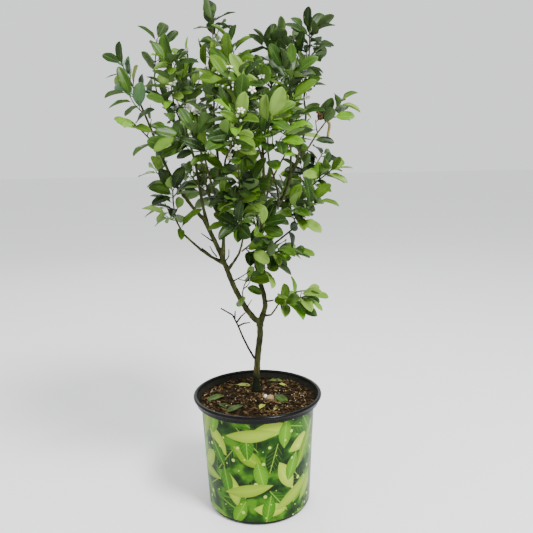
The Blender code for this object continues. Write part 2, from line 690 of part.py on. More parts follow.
def make_pot(collection):
    """The black pot: floor, tapering wall, skirt and rolled rim in one turned shell."""
    bead = POT_RIM_RADIUS - BEAD_RADIUS
    inside = [(0.0, POT_FLOOR), (wall_radius(POT_FLOOR) - POT_WALL - POT_CORNER / 2, POT_FLOOR),
              (wall_radius(POT_CORNER) - POT_WALL, POT_CORNER + POT_FLOOR),
              (POT_TOP_RADIUS - POT_WALL, SKIRT_BOTTOM - POT_WALL),
              (SKIRT_RADIUS - 4 * POT_WALL, SKIRT_BOTTOM)]
    rim = arc(bead, POT_RIM_HEIGHT, BEAD_RADIUS, 200, -70, 6)
    skirt = [(SKIRT_RADIUS + 0.0012, SKIRT_TOP), (SKIRT_RADIUS, SKIRT_TOP - 0.0008),
             (SKIRT_RADIUS - 0.0010, SKIRT_BOTTOM), (POT_TOP_RADIUS, SKIRT_BOTTOM - 0.0005)]
    foot = arc(POT_BASE_RADIUS - POT_CORNER, POT_CORNER, POT_CORNER, 0, -90, 3)
    profile = inside + rim + skirt + foot + [(0.0, 0.0)]
    return turned("pot", profile, collection, principled("pot", COLOURS["pot"], 0.4))


def make_wrap(collection):
    """The printed wrap: a thin band round the pot's wall, under the skirt."""
    inner = [(wall_radius(z) + SEAT, z) for z in (WRAP_BOTTOM, WRAP_TOP)]
    outer = [(r + WRAP_THICKNESS, z) for r, z in reversed(inner)]
    profile = inner + outer
    return turned("wrap", profile, collection, principled("wrap", COLOURS["wrap"], 0.3), closed=True)


def make_soil(collection):
    """The soil that fills the pot, a little mounded round the trunk."""
    reach = POT_WALL + SEAT
    edge = wall_radius(SOIL_EDGE_HEIGHT) - reach
    low = POT_FLOOR + SEAT
    profile = [(0.0, SOIL_MOUND_HEIGHT), (SOIL_MOUND_RADIUS, SOIL_MOUND_HEIGHT),
               (edge * 0.62, (SOIL_MOUND_HEIGHT + SOIL_EDGE_HEIGHT) / 2 + 0.0008),
               (edge, SOIL_EDGE_HEIGHT),
               (wall_radius(POT_CORNER) - reach - 0.0005, POT_CORNER + POT_FLOOR + 0.001),
               (wall_radius(low) - reach - POT_CORNER, low), (0.0, low)]
    return turned("soil", profile, collection, principled("soil", COLOURS["soil"], 0.95))


def tube(name, path, radii, sides, collection):
    """A tapering tube along a path, as a closed mesh."""
    curve = bpy.data.curves.new(name, "CURVE")
    curve.dimensions = "3D"
    curve.use_fill_caps = True
    spline = curve.splines.new("POLY")
    spline.points.add(len(path.points) - 1)
    for point, place, radius in zip(spline.points, path.points, radii):
        point.co = (*place, 1.0)
        point.radius = radius
    section = None
    if sides == 3:
        outline = bpy.data.curves.new(name + "_section", "CURVE")
        loop = outline.splines.new("POLY")
        loop.points.add(2)
        for k, point in enumerate(loop.points):
            point.co = (math.cos(k * math.tau / 3), math.sin(k * math.tau / 3), 0.0, 1.0)
        loop.use_cyclic_u = True
        section = mesh_object(name + "_section", outline, collection)
        curve.bevel_mode = "OBJECT"
        curve.bevel_object = section
    else:
        curve.bevel_depth = 1.0
        curve.bevel_resolution = sides // 2 - 2
    thing = baked(mesh_object(name, curve, collection), collection)
    if section:
        bpy.data.objects.remove(section)
    return thing


def make_limb(name, path, radii, collection):
    """The trunk or one bough as a tapering solid."""
    thing = tube(name, path, radii, 8 if radii[0] > 0.003 else 6, collection)
    colour = COLOURS.get(name, COLOURS["wood"])
    thing.data.materials.append(principled(name, colour, 0.8))
    thing.data.shade_smooth()
    thing.data.set_sharp_from_angle(angle=math.radians(60))
    return thing


def leaf_mesh(leaf):
    """A leaf as a gem of eight faces: root, two sides, tip and the two hearts."""
    root, left, tip, right, heart = leaf_points(leaf)
    gem = bmesh.new()
    bmesh.ops.create_uvsphere(gem, u_segments=4, v_segments=2, radius=1.0)
    thick = leaf.normal * max(LEAF_THICKNESS, leaf.length * 0.012) / 2
    heart = heart * 0.7 + root * 0.3
    for corner in gem.verts:
        x, y, z = (round(value) for value in corner.co)
        place = {(-1, 0): root, (1, 0): tip, (0, 1): left, (0, -1): right}.get((x, y), heart)
        corner.co = Vector(place + thick * z)
    face_outwards(gem)
    mesh = bpy.data.meshes.new("leaf")
    gem.to_mesh(mesh)
    gem.free()
    return mesh


def body_volume(faces):
    """Signed volume inside a closed set of faces."""
    total = 0.0
    for face in faces:
        corners = [v.co for v in face.verts]
        for b, c in zip(corners[1:], corners[2:]):
            total += corners[0].dot(b.cross(c)) / 6
    return total


def keep_main_body(mesh):
    """Drops loose scraps and sealed hollows, and keeps the one main body."""
    shape = bmesh.new()
    shape.from_mesh(mesh)
    left = set(shape.faces)
    bodies = []
    while left:
        body, stack = set(), [left.pop()]
        while stack:
            face = stack.pop()
            body.add(face)
            for edge in face.edges:
                for near in edge.link_faces:
                    if near in left:
                        left.remove(near)
                        stack.append(near)
        bodies.append(body)
    main = max(bodies, key=body_volume)
    scraps = [face for body in bodies if body is not main for face in body]
    bmesh.ops.delete(shape, geom=scraps, context="FACES")
    bmesh.ops.delete(shape, geom=[v for v in shape.verts if not v.link_faces], context="VERTS")
    bmesh.ops.triangulate(shape, faces=shape.faces)
    shape.to_mesh(mesh)
    shape.free()


def join_union(base, parts):
    """Joins the parts to a base by one union, and removes the parts."""
    boolean = base.modifiers.new("Join", "BOOLEAN")
    boolean.operation = "UNION"
    boolean.operand_type = "COLLECTION"
    boolean.collection = parts
    boolean.solver = "MANIFOLD"
    depsgraph = bpy.context.evaluated_depsgraph_get()
    mesh = bpy.data.meshes.new_from_object(base.evaluated_get(depsgraph))
    base.modifiers.clear()
    base.data = mesh
    for part in list(parts.objects):
        bpy.data.objects.remove(part)
    keep_main_body(base.data)


def make_mass(name, growth, collection, parts, colour):
    """One mass of leaves as a single solid."""
    for k, twig in enumerate(growth.twigs):
        radii = taper(twig.path, twig.thick, twig.thin)
        home = parts if k else collection
        thing = tube(name if k == 0 else f"{name}_twig_{k}", twig.path, radii, 3, home)
        if k == 0:
            base = thing
    for leaf in growth.leaves:
        mesh_object("leaf", leaf_mesh(leaf), parts)
    for stalk, along in growth.blossoms:
        mouth = stalk.points[-1] + along * BLOSSOM_DEPTH
        flower = Path((*stalk.points, mouth))
        radii = (BLOSSOM_STALK_RADIUS, BLOSSOM_STALK_RADIUS, BLOSSOM_RADIUS)
        tube("blossom", flower, radii, 6, parts)
    join_union(base, parts)
    base.data.materials.clear()
    base.data.materials.append(principled(name, colour, 0.45))
    return base


def make_dead_twig(plan, collection, parts):
    """The bare twig low on the trunk, with its short side twigs."""
    path, radii = plan
    base = make_limb("dead_twig", path, radii, collection)
    for place, tip in DEAD_SIDE_TWIGS:
        side = Path((path.at(path.length * place)[0], tip))
        tube("dead_side", side, (radii[-1] * 1.1, radii[-1] * 0.7), 3, parts)
    material = base.data.materials[0]
    join_union(base, parts)
    base.data.materials.clear()
    base.data.materials.append(material)


def main():
    """Builds every named solid."""
    for thing in list(bpy.data.objects):
        bpy.data.objects.remove(thing)
    scene = bpy.context.scene.collection
    plant = bpy.data.collections.new("potted_citrus")
    parts = bpy.data.collections.new("parts_to_join")
    scene.children.link(plant)
    scene.children.link(parts)
    make_pot(plant)
    make_wrap(plant)
    make_soil(plant)
    plan, limbs = plan_limbs()
    for name, (path, radii) in plan.items():
        if name != "dead_twig":
            make_limb(name, path, radii, plant)
    make_dead_twig(plan["dead_twig"], plant, parts)
    leaders, lines = plan_leaders(plan, limbs)
    walls = limb_walls(plan, LIMB_MARGIN)
    for k, (name, mass) in enumerate(MASSES.items()):
        growth = Grower(name, mass, leaders[name], lines, limbs, walls).grow()
        make_mass(name, growth, plant, parts, LEAF_COLOURS[k % len(LEAF_COLOURS)])
    bpy.data.collections.remove(parts)


if __name__ == "__main__":
    main()
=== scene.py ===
# %% [markdown]
# A small citrus bush in a black nursery pot, about a metre tall. The frame holds its
# solids at their real size: a pot, a printed wrap, the soil, a trunk that forks low, and
# boughs that carry masses of leaves. This script dresses those solids. Each piece goes
# where its solid is, so nothing has to be fitted by eye.

# %% Load the frame
import json
import math
import random
from collections import namedtuple

import bmesh
import bpy
import numpy as np
from mathutils import Matrix, Vector, noise
from mathutils.bvhtree import BVHTree
from mathutils.kdtree import KDTree

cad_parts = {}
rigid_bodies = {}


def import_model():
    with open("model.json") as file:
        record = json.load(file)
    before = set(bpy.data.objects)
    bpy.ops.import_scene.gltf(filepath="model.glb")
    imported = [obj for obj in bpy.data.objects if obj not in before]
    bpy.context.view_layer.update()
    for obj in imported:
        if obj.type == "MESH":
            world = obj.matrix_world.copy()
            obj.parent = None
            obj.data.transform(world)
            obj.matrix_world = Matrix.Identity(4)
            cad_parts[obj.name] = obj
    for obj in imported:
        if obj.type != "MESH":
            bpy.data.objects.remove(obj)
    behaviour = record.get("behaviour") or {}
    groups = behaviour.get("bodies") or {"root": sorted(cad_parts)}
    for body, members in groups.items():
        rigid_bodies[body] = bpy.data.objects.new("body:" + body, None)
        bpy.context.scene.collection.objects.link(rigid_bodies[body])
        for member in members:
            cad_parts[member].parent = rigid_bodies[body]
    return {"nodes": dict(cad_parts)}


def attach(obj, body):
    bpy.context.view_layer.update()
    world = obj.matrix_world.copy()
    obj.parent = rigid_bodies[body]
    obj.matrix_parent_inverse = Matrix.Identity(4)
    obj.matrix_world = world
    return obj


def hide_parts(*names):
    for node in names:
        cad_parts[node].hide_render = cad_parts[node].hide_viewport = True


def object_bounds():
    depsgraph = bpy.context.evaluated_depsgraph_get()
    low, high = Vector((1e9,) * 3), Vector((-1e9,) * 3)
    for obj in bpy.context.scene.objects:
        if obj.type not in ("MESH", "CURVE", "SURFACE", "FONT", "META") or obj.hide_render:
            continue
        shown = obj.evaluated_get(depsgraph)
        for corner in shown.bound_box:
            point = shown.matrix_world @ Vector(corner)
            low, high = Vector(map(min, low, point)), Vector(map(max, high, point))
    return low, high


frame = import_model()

CAD_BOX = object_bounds()
print("solids:", len(frame["nodes"]), "box:", [tuple(round(v, 3) for v in c) for c in CAD_BOX])

# %% [markdown]
# The picture was taken from a step in front of the bush, a little above its middle and
# looking slightly down. A camera is a place, a direction and a lens. These were worked out
# from the pot's rim and base, whose real sizes are known, and are kept as plain values.

# %% Camera
FOCUS_PIXELS = 600.0
FRAME_PIXELS = 533.0
SENSOR = 36.0
CAMERA_PLACE = (0.0, -1.2381, 0.7451)
CAMERA_YAW = 0.0198948
CAMERA_PITCH = 0.1759221
CAMERA_ROLL = 0.0186628


def make_camera():
    """The camera, from its place and three angles."""
    yaw, pitch, roll = CAMERA_YAW, CAMERA_PITCH, CAMERA_ROLL
    ahead = Vector((math.sin(yaw) * math.cos(pitch), math.cos(yaw) * math.cos(pitch),
                    -math.sin(pitch)))
    level = Vector((math.cos(yaw), -math.sin(yaw), 0.0))
    above = level.cross(ahead)
    right = level * math.cos(roll) - above * math.sin(roll)
    up = level * math.sin(roll) + above * math.cos(roll)
    data = bpy.data.cameras.new("camera")
    data.sensor_width = SENSOR
    data.lens = FOCUS_PIXELS / FRAME_PIXELS * SENSOR
    camera = bpy.data.objects.new("camera", data)
    bpy.context.scene.collection.objects.link(camera)
    turn = Matrix((right, up, -ahead)).transposed().to_4x4()
    camera.matrix_world = Matrix.Translation(CAMERA_PLACE) @ turn
    bpy.context.scene.camera = camera
    return data.lens


print("lens, mm:", round(make_camera(), 2))

# %% [markdown]
# A pale floor, a pale sky and a few large soft lamps stand in for a bright overcast day.
# The main lamp hangs high on the camera's side, so that the leaves' upper faces catch the
# light and the inside of the crown stays dark, as in the shade of its own leaves.

# %% Floor and light
FLOOR_REACH = 30.0
FLOOR_COLOUR = (0.90, 0.90, 0.90)
SKY_COLOUR = (0.97, 0.985, 1.0)
SKY_STRENGTH = 1.2
LAMPS = {"key": ((1.3, -1.6, 2.9), 0.8, 185.0), "fill": ((-2.4, -1.6, 1.5), 2.0, 10.0),
         "back": ((-0.8, 2.4, 2.4), 1.6, 25.0)}
LAMP_AIM = Vector((0.0, 0.0, 0.65))


def plain_material(name, colour, roughness, gloss=0.5):
    """A Principled material of one colour, to be given its nodes."""
    material = bpy.data.materials.new(name)
    material.use_nodes = True
    shader = material.node_tree.nodes["Principled BSDF"]
    shader.inputs["Base Color"].default_value = (*colour, 1.0)
    shader.inputs["Roughness"].default_value = roughness
    shader.inputs["Specular IOR Level"].default_value = gloss
    return material


def add_object(name, data):
    """An object at the origin for a mesh or a curve."""
    thing = bpy.data.objects.new(name, data)
    bpy.context.scene.collection.objects.link(thing)
    return thing


def make_floor():
    """A wide flat floor under the pot."""
    mesh = bpy.data.meshes.new("floor")
    r = FLOOR_REACH
    mesh.from_pydata([(-r, -r, 0), (r, -r, 0), (r, r, 0), (-r, r, 0)], [], [(0, 1, 2, 3)])
    mesh.materials.append(plain_material("floor", FLOOR_COLOUR, 0.8))
    add_object("floor", mesh)


def make_lights():
    """The sky and the large lamps, each turned to the crown's foot."""
    world = bpy.data.worlds.new("sky")
    world.use_nodes = True
    sky = world.node_tree.nodes["Background"]
    sky.inputs["Color"].default_value = (*SKY_COLOUR, 1.0)
    sky.inputs["Strength"].default_value = SKY_STRENGTH
    bpy.context.scene.world = world
    for name, (place, size, power) in LAMPS.items():
        data = bpy.data.lights.new(name, "AREA")
        data.size = size
        data.energy = power
        lamp = add_object(name, data)
        lamp.location = place
        lamp.rotation_euler = (LAMP_AIM - Vector(place)).to_track_quat("-Z", "Y").to_euler()


make_floor()
make_lights()
print("lamps:", len(LAMPS))

# %% [markdown]
# Shader nodes are easier to read when a small helper wires them. A finish that varies over
# its surface starts from a pattern on Object coordinates, which stay with the real size of
# the piece. The pattern drifts the colour between tones and drives a fine bump.

# %% Helpers for finishes


def node(material, kind, inputs=None, **settings):
    """Adds a shader node. Its inputs are values, or outputs of other nodes to be linked."""
    made = material.node_tree.nodes.new("ShaderNode" + kind)
    for name, value in settings.items():
        setattr(made, name, value)
    for name, value in (inputs or {}).items():
        if isinstance(value, bpy.types.NodeSocket):
            material.node_tree.links.new(value, made.inputs[name])
        else:
            made.inputs[name].default_value = value
    return made


def ramp(material, factor, stops):
    """A colour ramp through (place, colour) stops."""
    made = node(material, "ValToRGB", {"Fac": factor})
    elements = made.color_ramp.elements
    elements.remove(elements[1])
    for k, (place, colour) in enumerate(stops):
        stop = elements[0] if k == 0 else elements.new(place)
        stop.position = place
        stop.color = (*colour, 1.0)
    return made.outputs["Color"]


def wire(material, socket, output):
    """Links an output to one of the Principled shader's inputs."""
    shader = material.node_tree.nodes["Principled BSDF"]
    material.node_tree.links.new(output, shader.inputs[socket])


def grained(name, tones, roughness, scale, bump, stretch=(1.0, 1.0, 1.0), depth=0.001, gloss=0.12):
    """A finish whose colour drifts through tones, with a bump of the same grain."""
    material = plain_material(name, tones[-1], roughness, gloss)
    place = node(material, "TexCoord").outputs["Object"]
    place = node(material, "Mapping", {"Vector": place, "Scale": stretch}).outputs["Vector"]
    grain = node(material, "TexNoise", {"Vector": place, "Scale": scale, "Detail": 7.0,
                                        "Roughness": 0.62}).outputs["Fac"]
    stops = [(0.30 + 0.40 * k / (len(tones) - 1), tone) for k, tone in enumerate(tones)]
    wire(material, "Base Color", ramp(material, grain, stops))
    relief = node(material, "Bump", {"Height": grain, "Strength": bump, "Distance": depth})
    wire(material, "Normal", relief.outputs["Normal"])
    return material


def dress(piece, slot, *nodes):
    """Puts a piece on the one body, in place of its solids. The slot is not used."""
    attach(piece, "root")
    if nodes:
        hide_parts(*nodes)
    print(piece.name, "faces:", len(piece.data.polygons))


def outwards(shape):
    """Merges doubles in a closed shape and turns its faces outwards."""
    bmesh.ops.remove_doubles(shape, verts=shape.verts, dist=1e-6)
    bmesh.ops.recalc_face_normals(shape, faces=shape.faces)
    if shape.calc_volume(signed=True) < 0:
        bmesh.ops.reverse_faces(shape, faces=shape.faces)


def made_plain(thing, sharp=40):
    """Applies a thing's modifiers, and leaves a smooth plain mesh that faces outwards."""
    depsgraph = bpy.context.evaluated_depsgraph_get()
    mesh = bpy.data.meshes.new_from_object(thing.evaluated_get(depsgraph))
    thing.modifiers.clear()
    thing.data = mesh
    shape = bmesh.new()
    shape.from_mesh(mesh)
    outwards(shape)
    shape.to_mesh(mesh)
    shape.free()
    mesh.shade_smooth()
    mesh.set_sharp_from_angle(angle=math.radians(sharp))
    return thing


print("helpers ready")

# %% [markdown]
# The pot is blow-moulded black plastic: a thin tapering wall, a skirt under the rim and a
# rolled bead. Turning one outline round its axis with a Screw modifier gives all of it.
# More steps than the solid has keep the rim round in the picture. The plastic is glossy
# but handled: faint scratches and dust change its roughness more than its colour.

# %% Pot
POT_RIM_RADIUS = 0.1385
POT_RIM_HEIGHT = 0.2464
BEAD_RADIUS = 0.0040
POT_TOP_RADIUS = 0.1214
POT_BASE_RADIUS = 0.1097
POT_WALL = 0.0020
POT_FLOOR = 0.0030
POT_CORNER = 0.0070
SKIRT_RADIUS = 0.1338
SKIRT_TOP = 0.2415
SKIRT_BOTTOM = 0.2340
TURN_STEPS = 160
INSIDE_TONES = ((0.0075, 0.0080, 0.0052), (0.0190, 0.0190, 0.0130))


def arc(centre_radius, centre_height, radius, start, stop, steps):
    """Points of an arc in the turning plane, angles in degrees from outwards."""
    angles = np.radians(np.linspace(start, stop, steps + 1))
    return [(centre_radius + radius * math.cos(a), centre_height + radius * math.sin(a))
            for a in angles]


def wall_radius(height):
    """The pot wall's outer radius at a height."""
    return POT_BASE_RADIUS + (POT_TOP_RADIUS - POT_BASE_RADIUS) * height / SKIRT_BOTTOM


def turned(name, profile, material, closed=False):
    """A piece turned round Z from an outline of radius and height."""
    mesh = bpy.data.meshes.new(name)
    edges = [(i, i + 1) for i in range(len(profile) - 1)]
    if closed:
        edges.append((len(profile) - 1, 0))
    mesh.from_pydata([(r, 0.0, z) for r, z in profile], edges, [])
    thing = add_object(name, mesh)
    screw = thing.modifiers.new("Turn", "SCREW")
    screw.steps = screw.render_steps = TURN_STEPS
    screw.use_merge_vertices = True
    screw.merge_threshold = 0.00001
    made_plain(thing)
    thing.data.materials.append(material)
    return thing


def pot_profile():
    """The shell's outline from the middle of the floor, up, over the rim and down."""
    bead = POT_RIM_RADIUS - BEAD_RADIUS
    inside = [(0.0, POT_FLOOR), (wall_radius(POT_FLOOR) - POT_WALL - POT_CORNER / 2, POT_FLOOR),
              (wall_radius(POT_CORNER) - POT_WALL, POT_CORNER + POT_FLOOR),
              (POT_TOP_RADIUS - POT_WALL, SKIRT_BOTTOM - POT_WALL),
              (SKIRT_RADIUS - 4 * POT_WALL, SKIRT_BOTTOM)]
    rim = arc(bead, POT_RIM_HEIGHT, BEAD_RADIUS, 200, -70, 14)
    groove = arc(SKIRT_RADIUS + 0.0012, SKIRT_TOP + 0.0006, 0.0011, 80, -80, 5)
    skirt = [(SKIRT_RADIUS, SKIRT_TOP - 0.0012), (SKIRT_RADIUS - 0.0010, SKIRT_BOTTOM),
             (POT_TOP_RADIUS, SKIRT_BOTTOM - 0.0005)]
    foot = arc(POT_BASE_RADIUS - POT_CORNER, POT_CORNER, POT_CORNER, 0, -90, 8)
    return inside + rim + groove + skirt + foot + [(0.0, 0.0)]


def pot_plastic():
    """Black plastic, dusty in patches and lightly scratched round the pot."""
    material = grained("pot_plastic", ((0.0010, 0.0011, 0.0010), (0.0035, 0.0036, 0.0034)), 0.32,
                       40.0, 0.10, gloss=0.13)
    place = node(material, "TexCoord").outputs["Object"]
    around = node(material, "Mapping", {"Vector": place, "Scale": (20.0, 20.0, 900.0)})
    scratch = node(material, "TexNoise", {"Vector": around.outputs["Vector"], "Scale": 1.0,
                                          "Detail": 3.0}).outputs["Fac"]
    rough = node(material, "MapRange", {"Value": scratch, "From Min": 0.35, "From Max": 0.75,
                                        "To Min": 0.20, "To Max": 0.40}).outputs["Result"]
    wire(material, "Roughness", rough)
    return material


def dusty_inside(shell):
    """Gives the pot's inner faces, below the bead, a dull finish of their own."""
    shell.data.materials.append(grained("pot_inside", INSIDE_TONES, 0.75, 90.0, 0.3, gloss=0.12))
    for face in shell.data.polygons:
        x, y, z = face.center
        inwards = x * face.normal.x + y * face.normal.y < 0
        face.material_index = int(inwards and math.hypot(x, y) < POT_RIM_RADIUS - 2 * BEAD_RADIUS)
    return shell


dress(dusty_inside(turned("pot_shell", pot_profile(), pot_plastic())), "pot", "pot")

# %% [markdown]
# A printed band wraps the pot's wall from the skirt to just above the ground. On the real
# pot the print is part of the plastic. Here it is a thin sleeve of its own with a UV map in
# metres that runs round and up it, so a design can be drawn by shader arithmetic. The
# design is plain foliage: layers of pointed leaves with pale ribs, and soft round dots, in
# greens from dark to lime. Each layer is a grid of cells, turned and shifted by chance.

# %% Printed band
WRAP_GAP = 0.0003
WRAP_THICKNESS = 0.0008
WRAP_BOTTOM = 0.0085
WRAP_TOP = 0.2315
GROUND_TONES = ((0.003, 0.014, 0.001), (0.012, 0.055, 0.002), (0.060, 0.180, 0.004))
DARK_TONES = ((0.002, 0.012, 0.001), (0.006, 0.032, 0.002), (0.016, 0.080, 0.003))
GREEN_TONES = ((0.016, 0.080, 0.002), (0.040, 0.160, 0.003), (0.085, 0.240, 0.005))
LIME_TONES = ((0.110, 0.230, 0.002), (0.190, 0.320, 0.004), (0.330, 0.450, 0.030))
DOT_COLOUR = (0.420, 0.540, 0.090)
RIB_COLOUR = (0.220, 0.360, 0.030)


def math_node(material, operation, a, b=0.0):
    """The result of one sum."""
    return node(material, "Math", {0: a, 1: b}, operation=operation).outputs[0]


def blended(material, share, under, over):
    """One colour over another, by a share."""
    mix = node(material, "Mix", {0: share}, data_type="RGBA")
    for socket, value in ((6, under), (7, over)):
        if isinstance(value, bpy.types.NodeSocket):
            material.node_tree.links.new(value, mix.inputs[socket])
        else:
            mix.inputs[socket].default_value = (*value, 1.0)
    return mix.outputs[2]


def cells(material, place, size, turn, shift, chance):
    """Chance cells of a size in metres: place in the cell, and a chance colour."""
    lie = node(material, "Mapping", {"Vector": place, "Rotation": (0.0, 0.0, turn),
                                     "Location": (*shift, 0.0), "Scale": (1 / size,) * 3})
    cell = node(material, "TexVoronoi", {"Vector": lie.outputs["Vector"], "Scale": 1.0,
                                         "Randomness": chance}, voronoi_dimensions="2D")
    local = node(material, "VectorMath", {0: lie.outputs["Vector"], 1: cell.outputs["Position"]},
                 operation="SUBTRACT").outputs[0]
    return local, cell.outputs["Color"]


def leaf_layer(material, under, place, size, turn, shift, tones, width):
    """A layer of pointed leaves with pale ribs, laid over what is under it."""
    local, chance = cells(material, place, size, turn, shift, 0.25)
    parts = node(material, "SeparateColor", {0: chance})
    spin = math_node(material, "MULTIPLY", parts.outputs[0], math.tau)
    lie = node(material, "VectorRotate", {"Vector": local, "Angle": spin}, rotation_type="Z_AXIS")
    axes = node(material, "SeparateXYZ", {0: lie.outputs[0]})
    along = math_node(material, "DIVIDE", axes.outputs[0], 0.46)
    across = math_node(material, "ABSOLUTE", axes.outputs[1])
    bow = math_node(material, "SUBTRACT", 1.0, math_node(material, "POWER",
                                                         math_node(material, "ABSOLUTE", along), 2.0))
    depth = math_node(material, "SUBTRACT", math_node(material, "MULTIPLY", bow, width), across)
    inside = node(material, "MapRange", {"Value": depth, "From Min": 0.0, "From Max": 0.012}).outputs[0]
    tone = ramp(material, parts.outputs[1], [(k / len(tones), t) for k, t in enumerate(tones)])
    shade = math_node(material, "MULTIPLY_ADD", depth, 2.2)
    shade.node.inputs[2].default_value = 0.72
    tinted = node(material, "Mix", {0: 1.0}, data_type="RGBA", blend_type="MULTIPLY")
    material.node_tree.links.new(tone, tinted.inputs[6])
    material.node_tree.links.new(shade, tinted.inputs[7])
    rib = node(material, "MapRange", {"Value": across, "From Min": 0.006, "From Max": 0.018,
                                      "To Min": 0.75, "To Max": 0.0}).outputs[0]
    slant = math_node(material, "SUBTRACT", math_node(material, "MULTIPLY", axes.outputs[0], 46.0),
                      math_node(material, "MULTIPLY", across, 52.0))
    vein = node(material, "MapRange", {"Value": math_node(material, "SINE", slant), "From Min": 0.90,
                                       "From Max": 1.0, "To Min": 0.0, "To Max": 0.30}).outputs[0]
    line = math_node(material, "MAXIMUM", rib, vein)
    leaf = blended(material, line, tinted.outputs[2], RIB_COLOUR)
    return blended(material, inside, under, leaf)


def dot_layer(material, under, place, size, shift):
    """A layer of soft round dots of chance sizes."""
    local, chance = cells(material, place, size, 0.4, shift, 0.8)
    length = node(material, "VectorMath", {0: local}, operation="LENGTH").outputs[1]
    parts = node(material, "SeparateColor", {0: chance})
    reach = math_node(material, "MULTIPLY", parts.outputs[0], 0.15)
    depth = math_node(material, "SUBTRACT", reach, length)
    inside = node(material, "MapRange", {"Value": depth, "From Min": 0.0, "From Max": 0.03,
                                         "To Min": 0.0, "To Max": 0.85}).outputs[0]
    return blended(material, inside, under, DOT_COLOUR)


def printed_finish():
    """The band's glossy print: a mottled ground, four layers of leaves and two of dots."""
    material = plain_material("printed_band", GREEN_TONES[1], 0.30, 0.12)
    place = node(material, "UVMap", uv_map="round_and_up").outputs["UV"]
    mottle = node(material, "TexNoise", {"Vector": place, "Scale": 30.0, "Detail": 2.0}).outputs["Fac"]
    colour = ramp(material, mottle, [(0.35 + 0.15 * k, t) for k, t in enumerate(GROUND_TONES)])
    colour = leaf_layer(material, colour, place, 0.074, 0.7, (0.3, 0.1), DARK_TONES, 0.23)
    colour = leaf_layer(material, colour, place, 0.082, 2.1, (0.8, 0.4), LIME_TONES, 0.20)
    colour = leaf_layer(material, colour, place, 0.070, 1.3, (0.2, 0.7), GREEN_TONES, 0.21)
    colour = dot_layer(material, colour, place, 0.030, (0.1, 0.6))
    colour = leaf_layer(material, colour, place, 0.120, 0.2, (0.6, 0.9), LIME_TONES, 0.12)
    wire(material, "Base Color", colour)
    return material


def make_band():
    """The sleeve, with a UV map in metres that runs round and up it."""
    inner = [(wall_radius(z) + WRAP_GAP, z) for z in (WRAP_BOTTOM, WRAP_TOP)]
    outer = [(r + WRAP_THICKNESS, z) for r, z in reversed(inner)]
    band = turned("printed_sleeve", inner + outer, printed_finish(), closed=True)
    around = wall_radius(WRAP_TOP / 2) * math.tau
    layer = band.data.uv_layers.new(name="round_and_up")
    for face in band.data.polygons:
        middle = math.atan2(face.center.x, -face.center.y)
        for loop in face.loop_indices:
            x, y, z = band.data.vertices[band.data.loops[loop].vertex_index].co
            turn = math.atan2(x, -y)
            turn += math.tau * round((middle - turn) / math.tau)
            layer.data[loop].uv = ((turn / math.tau + 0.5) * around, z)
    dress(band, "wrap", "wrap")


make_band()

# %% [markdown]
# The pot is filled with peat and bark, a little mounded round the trunk. The body of it is
# rings of points from the middle out, lifted by smooth noise: broad swells for the way it
# was filled, and small lumps for its crumbs. It lies over the pot's inner ledge, and its
# edge stays just clear of the wall.

# %% Soil
SOIL_EDGE_HEIGHT = 0.2349
SOIL_NECK_HEIGHT = 0.2322
SOIL_MOUND_HEIGHT = 0.2435
SOIL_MOUND_RADIUS = 0.034
SOIL_RINGS = 56
SOIL_SPOKES = 144
SWELL_SIZE = 0.030
SWELL_HEIGHT = 0.0022
LUMP_SIZE = 0.006
LUMP_HEIGHT = 0.0016
SOIL_TONES = ((0.003, 0.002, 0.001), (0.010, 0.007, 0.003), (0.028, 0.018, 0.008))


def soil_reach():
    """The soil's radius at its edge."""
    return SKIRT_RADIUS - 4 * POT_WALL - WRAP_GAP


def soil_height(x, y):
    """Height of the uneven soil surface at a place."""
    radius = math.hypot(x, y)
    edge = soil_reach()
    middle = (SOIL_MOUND_HEIGHT + SOIL_EDGE_HEIGHT) / 2 + 0.0008
    height = float(np.interp(radius, (SOIL_MOUND_RADIUS, edge * 0.62, edge),
                             (SOIL_MOUND_HEIGHT, middle, SOIL_EDGE_HEIGHT)))
    calm = min(1.0, (edge - radius) / 0.010)
    swell = noise.noise(Vector((x / SWELL_SIZE, y / SWELL_SIZE, 3.1))) * SWELL_HEIGHT
    lump = noise.noise(Vector((x / LUMP_SIZE, y / LUMP_SIZE, 7.7))) * LUMP_HEIGHT
    return height + calm * (swell + lump - LUMP_HEIGHT / 2)


def make_soil():
    """A closed body of soil with an uneven top, and the place of its middle."""
    edge = soil_reach()
    low = POT_FLOOR + WRAP_GAP
    shape = bmesh.new()
    turns = [math.tau * s / SOIL_SPOKES for s in range(SOIL_SPOKES)]
    rings = []
    for k in range(1, SOIL_RINGS + 1):
        radius = edge * k / SOIL_RINGS
        places = [(radius * math.cos(turn), radius * math.sin(turn)) for turn in turns]
        rings.append([shape.verts.new((x, y, soil_height(x, y))) for x, y in places])
    for height, spare in ((SOIL_NECK_HEIGHT, WRAP_GAP), (low, WRAP_GAP + POT_CORNER)):
        radius = wall_radius(height) - POT_WALL - spare
        rings.append([shape.verts.new((radius * math.cos(turn), radius * math.sin(turn), height))
                      for turn in turns])
    for inner, outer in zip(rings, rings[1:]):
        for s in range(SOIL_SPOKES):
            t = (s + 1) % SOIL_SPOKES
            shape.faces.new((inner[s], outer[s], outer[t], inner[t]))
    centre = shape.verts.new((0.0, 0.0, soil_height(0.0, 0.0)))
    for s in range(SOIL_SPOKES):
        shape.faces.new((centre, rings[0][s], rings[0][(s + 1) % SOIL_SPOKES]))
    shape.faces.new(rings[-1])
    outwards(shape)
    mesh = bpy.data.meshes.new("soil_body")
    shape.to_mesh(mesh)
    shape.free()
    mesh.shade_smooth()
    mesh.materials.append(grained("peat", SOIL_TONES, 0.95, 170.0, 0.9, depth=0.002, gloss=0.05))
    soil = add_object("soil_body", mesh)
    dress(soil, "soil", "soil")
    return soil


SOIL = make_soil()

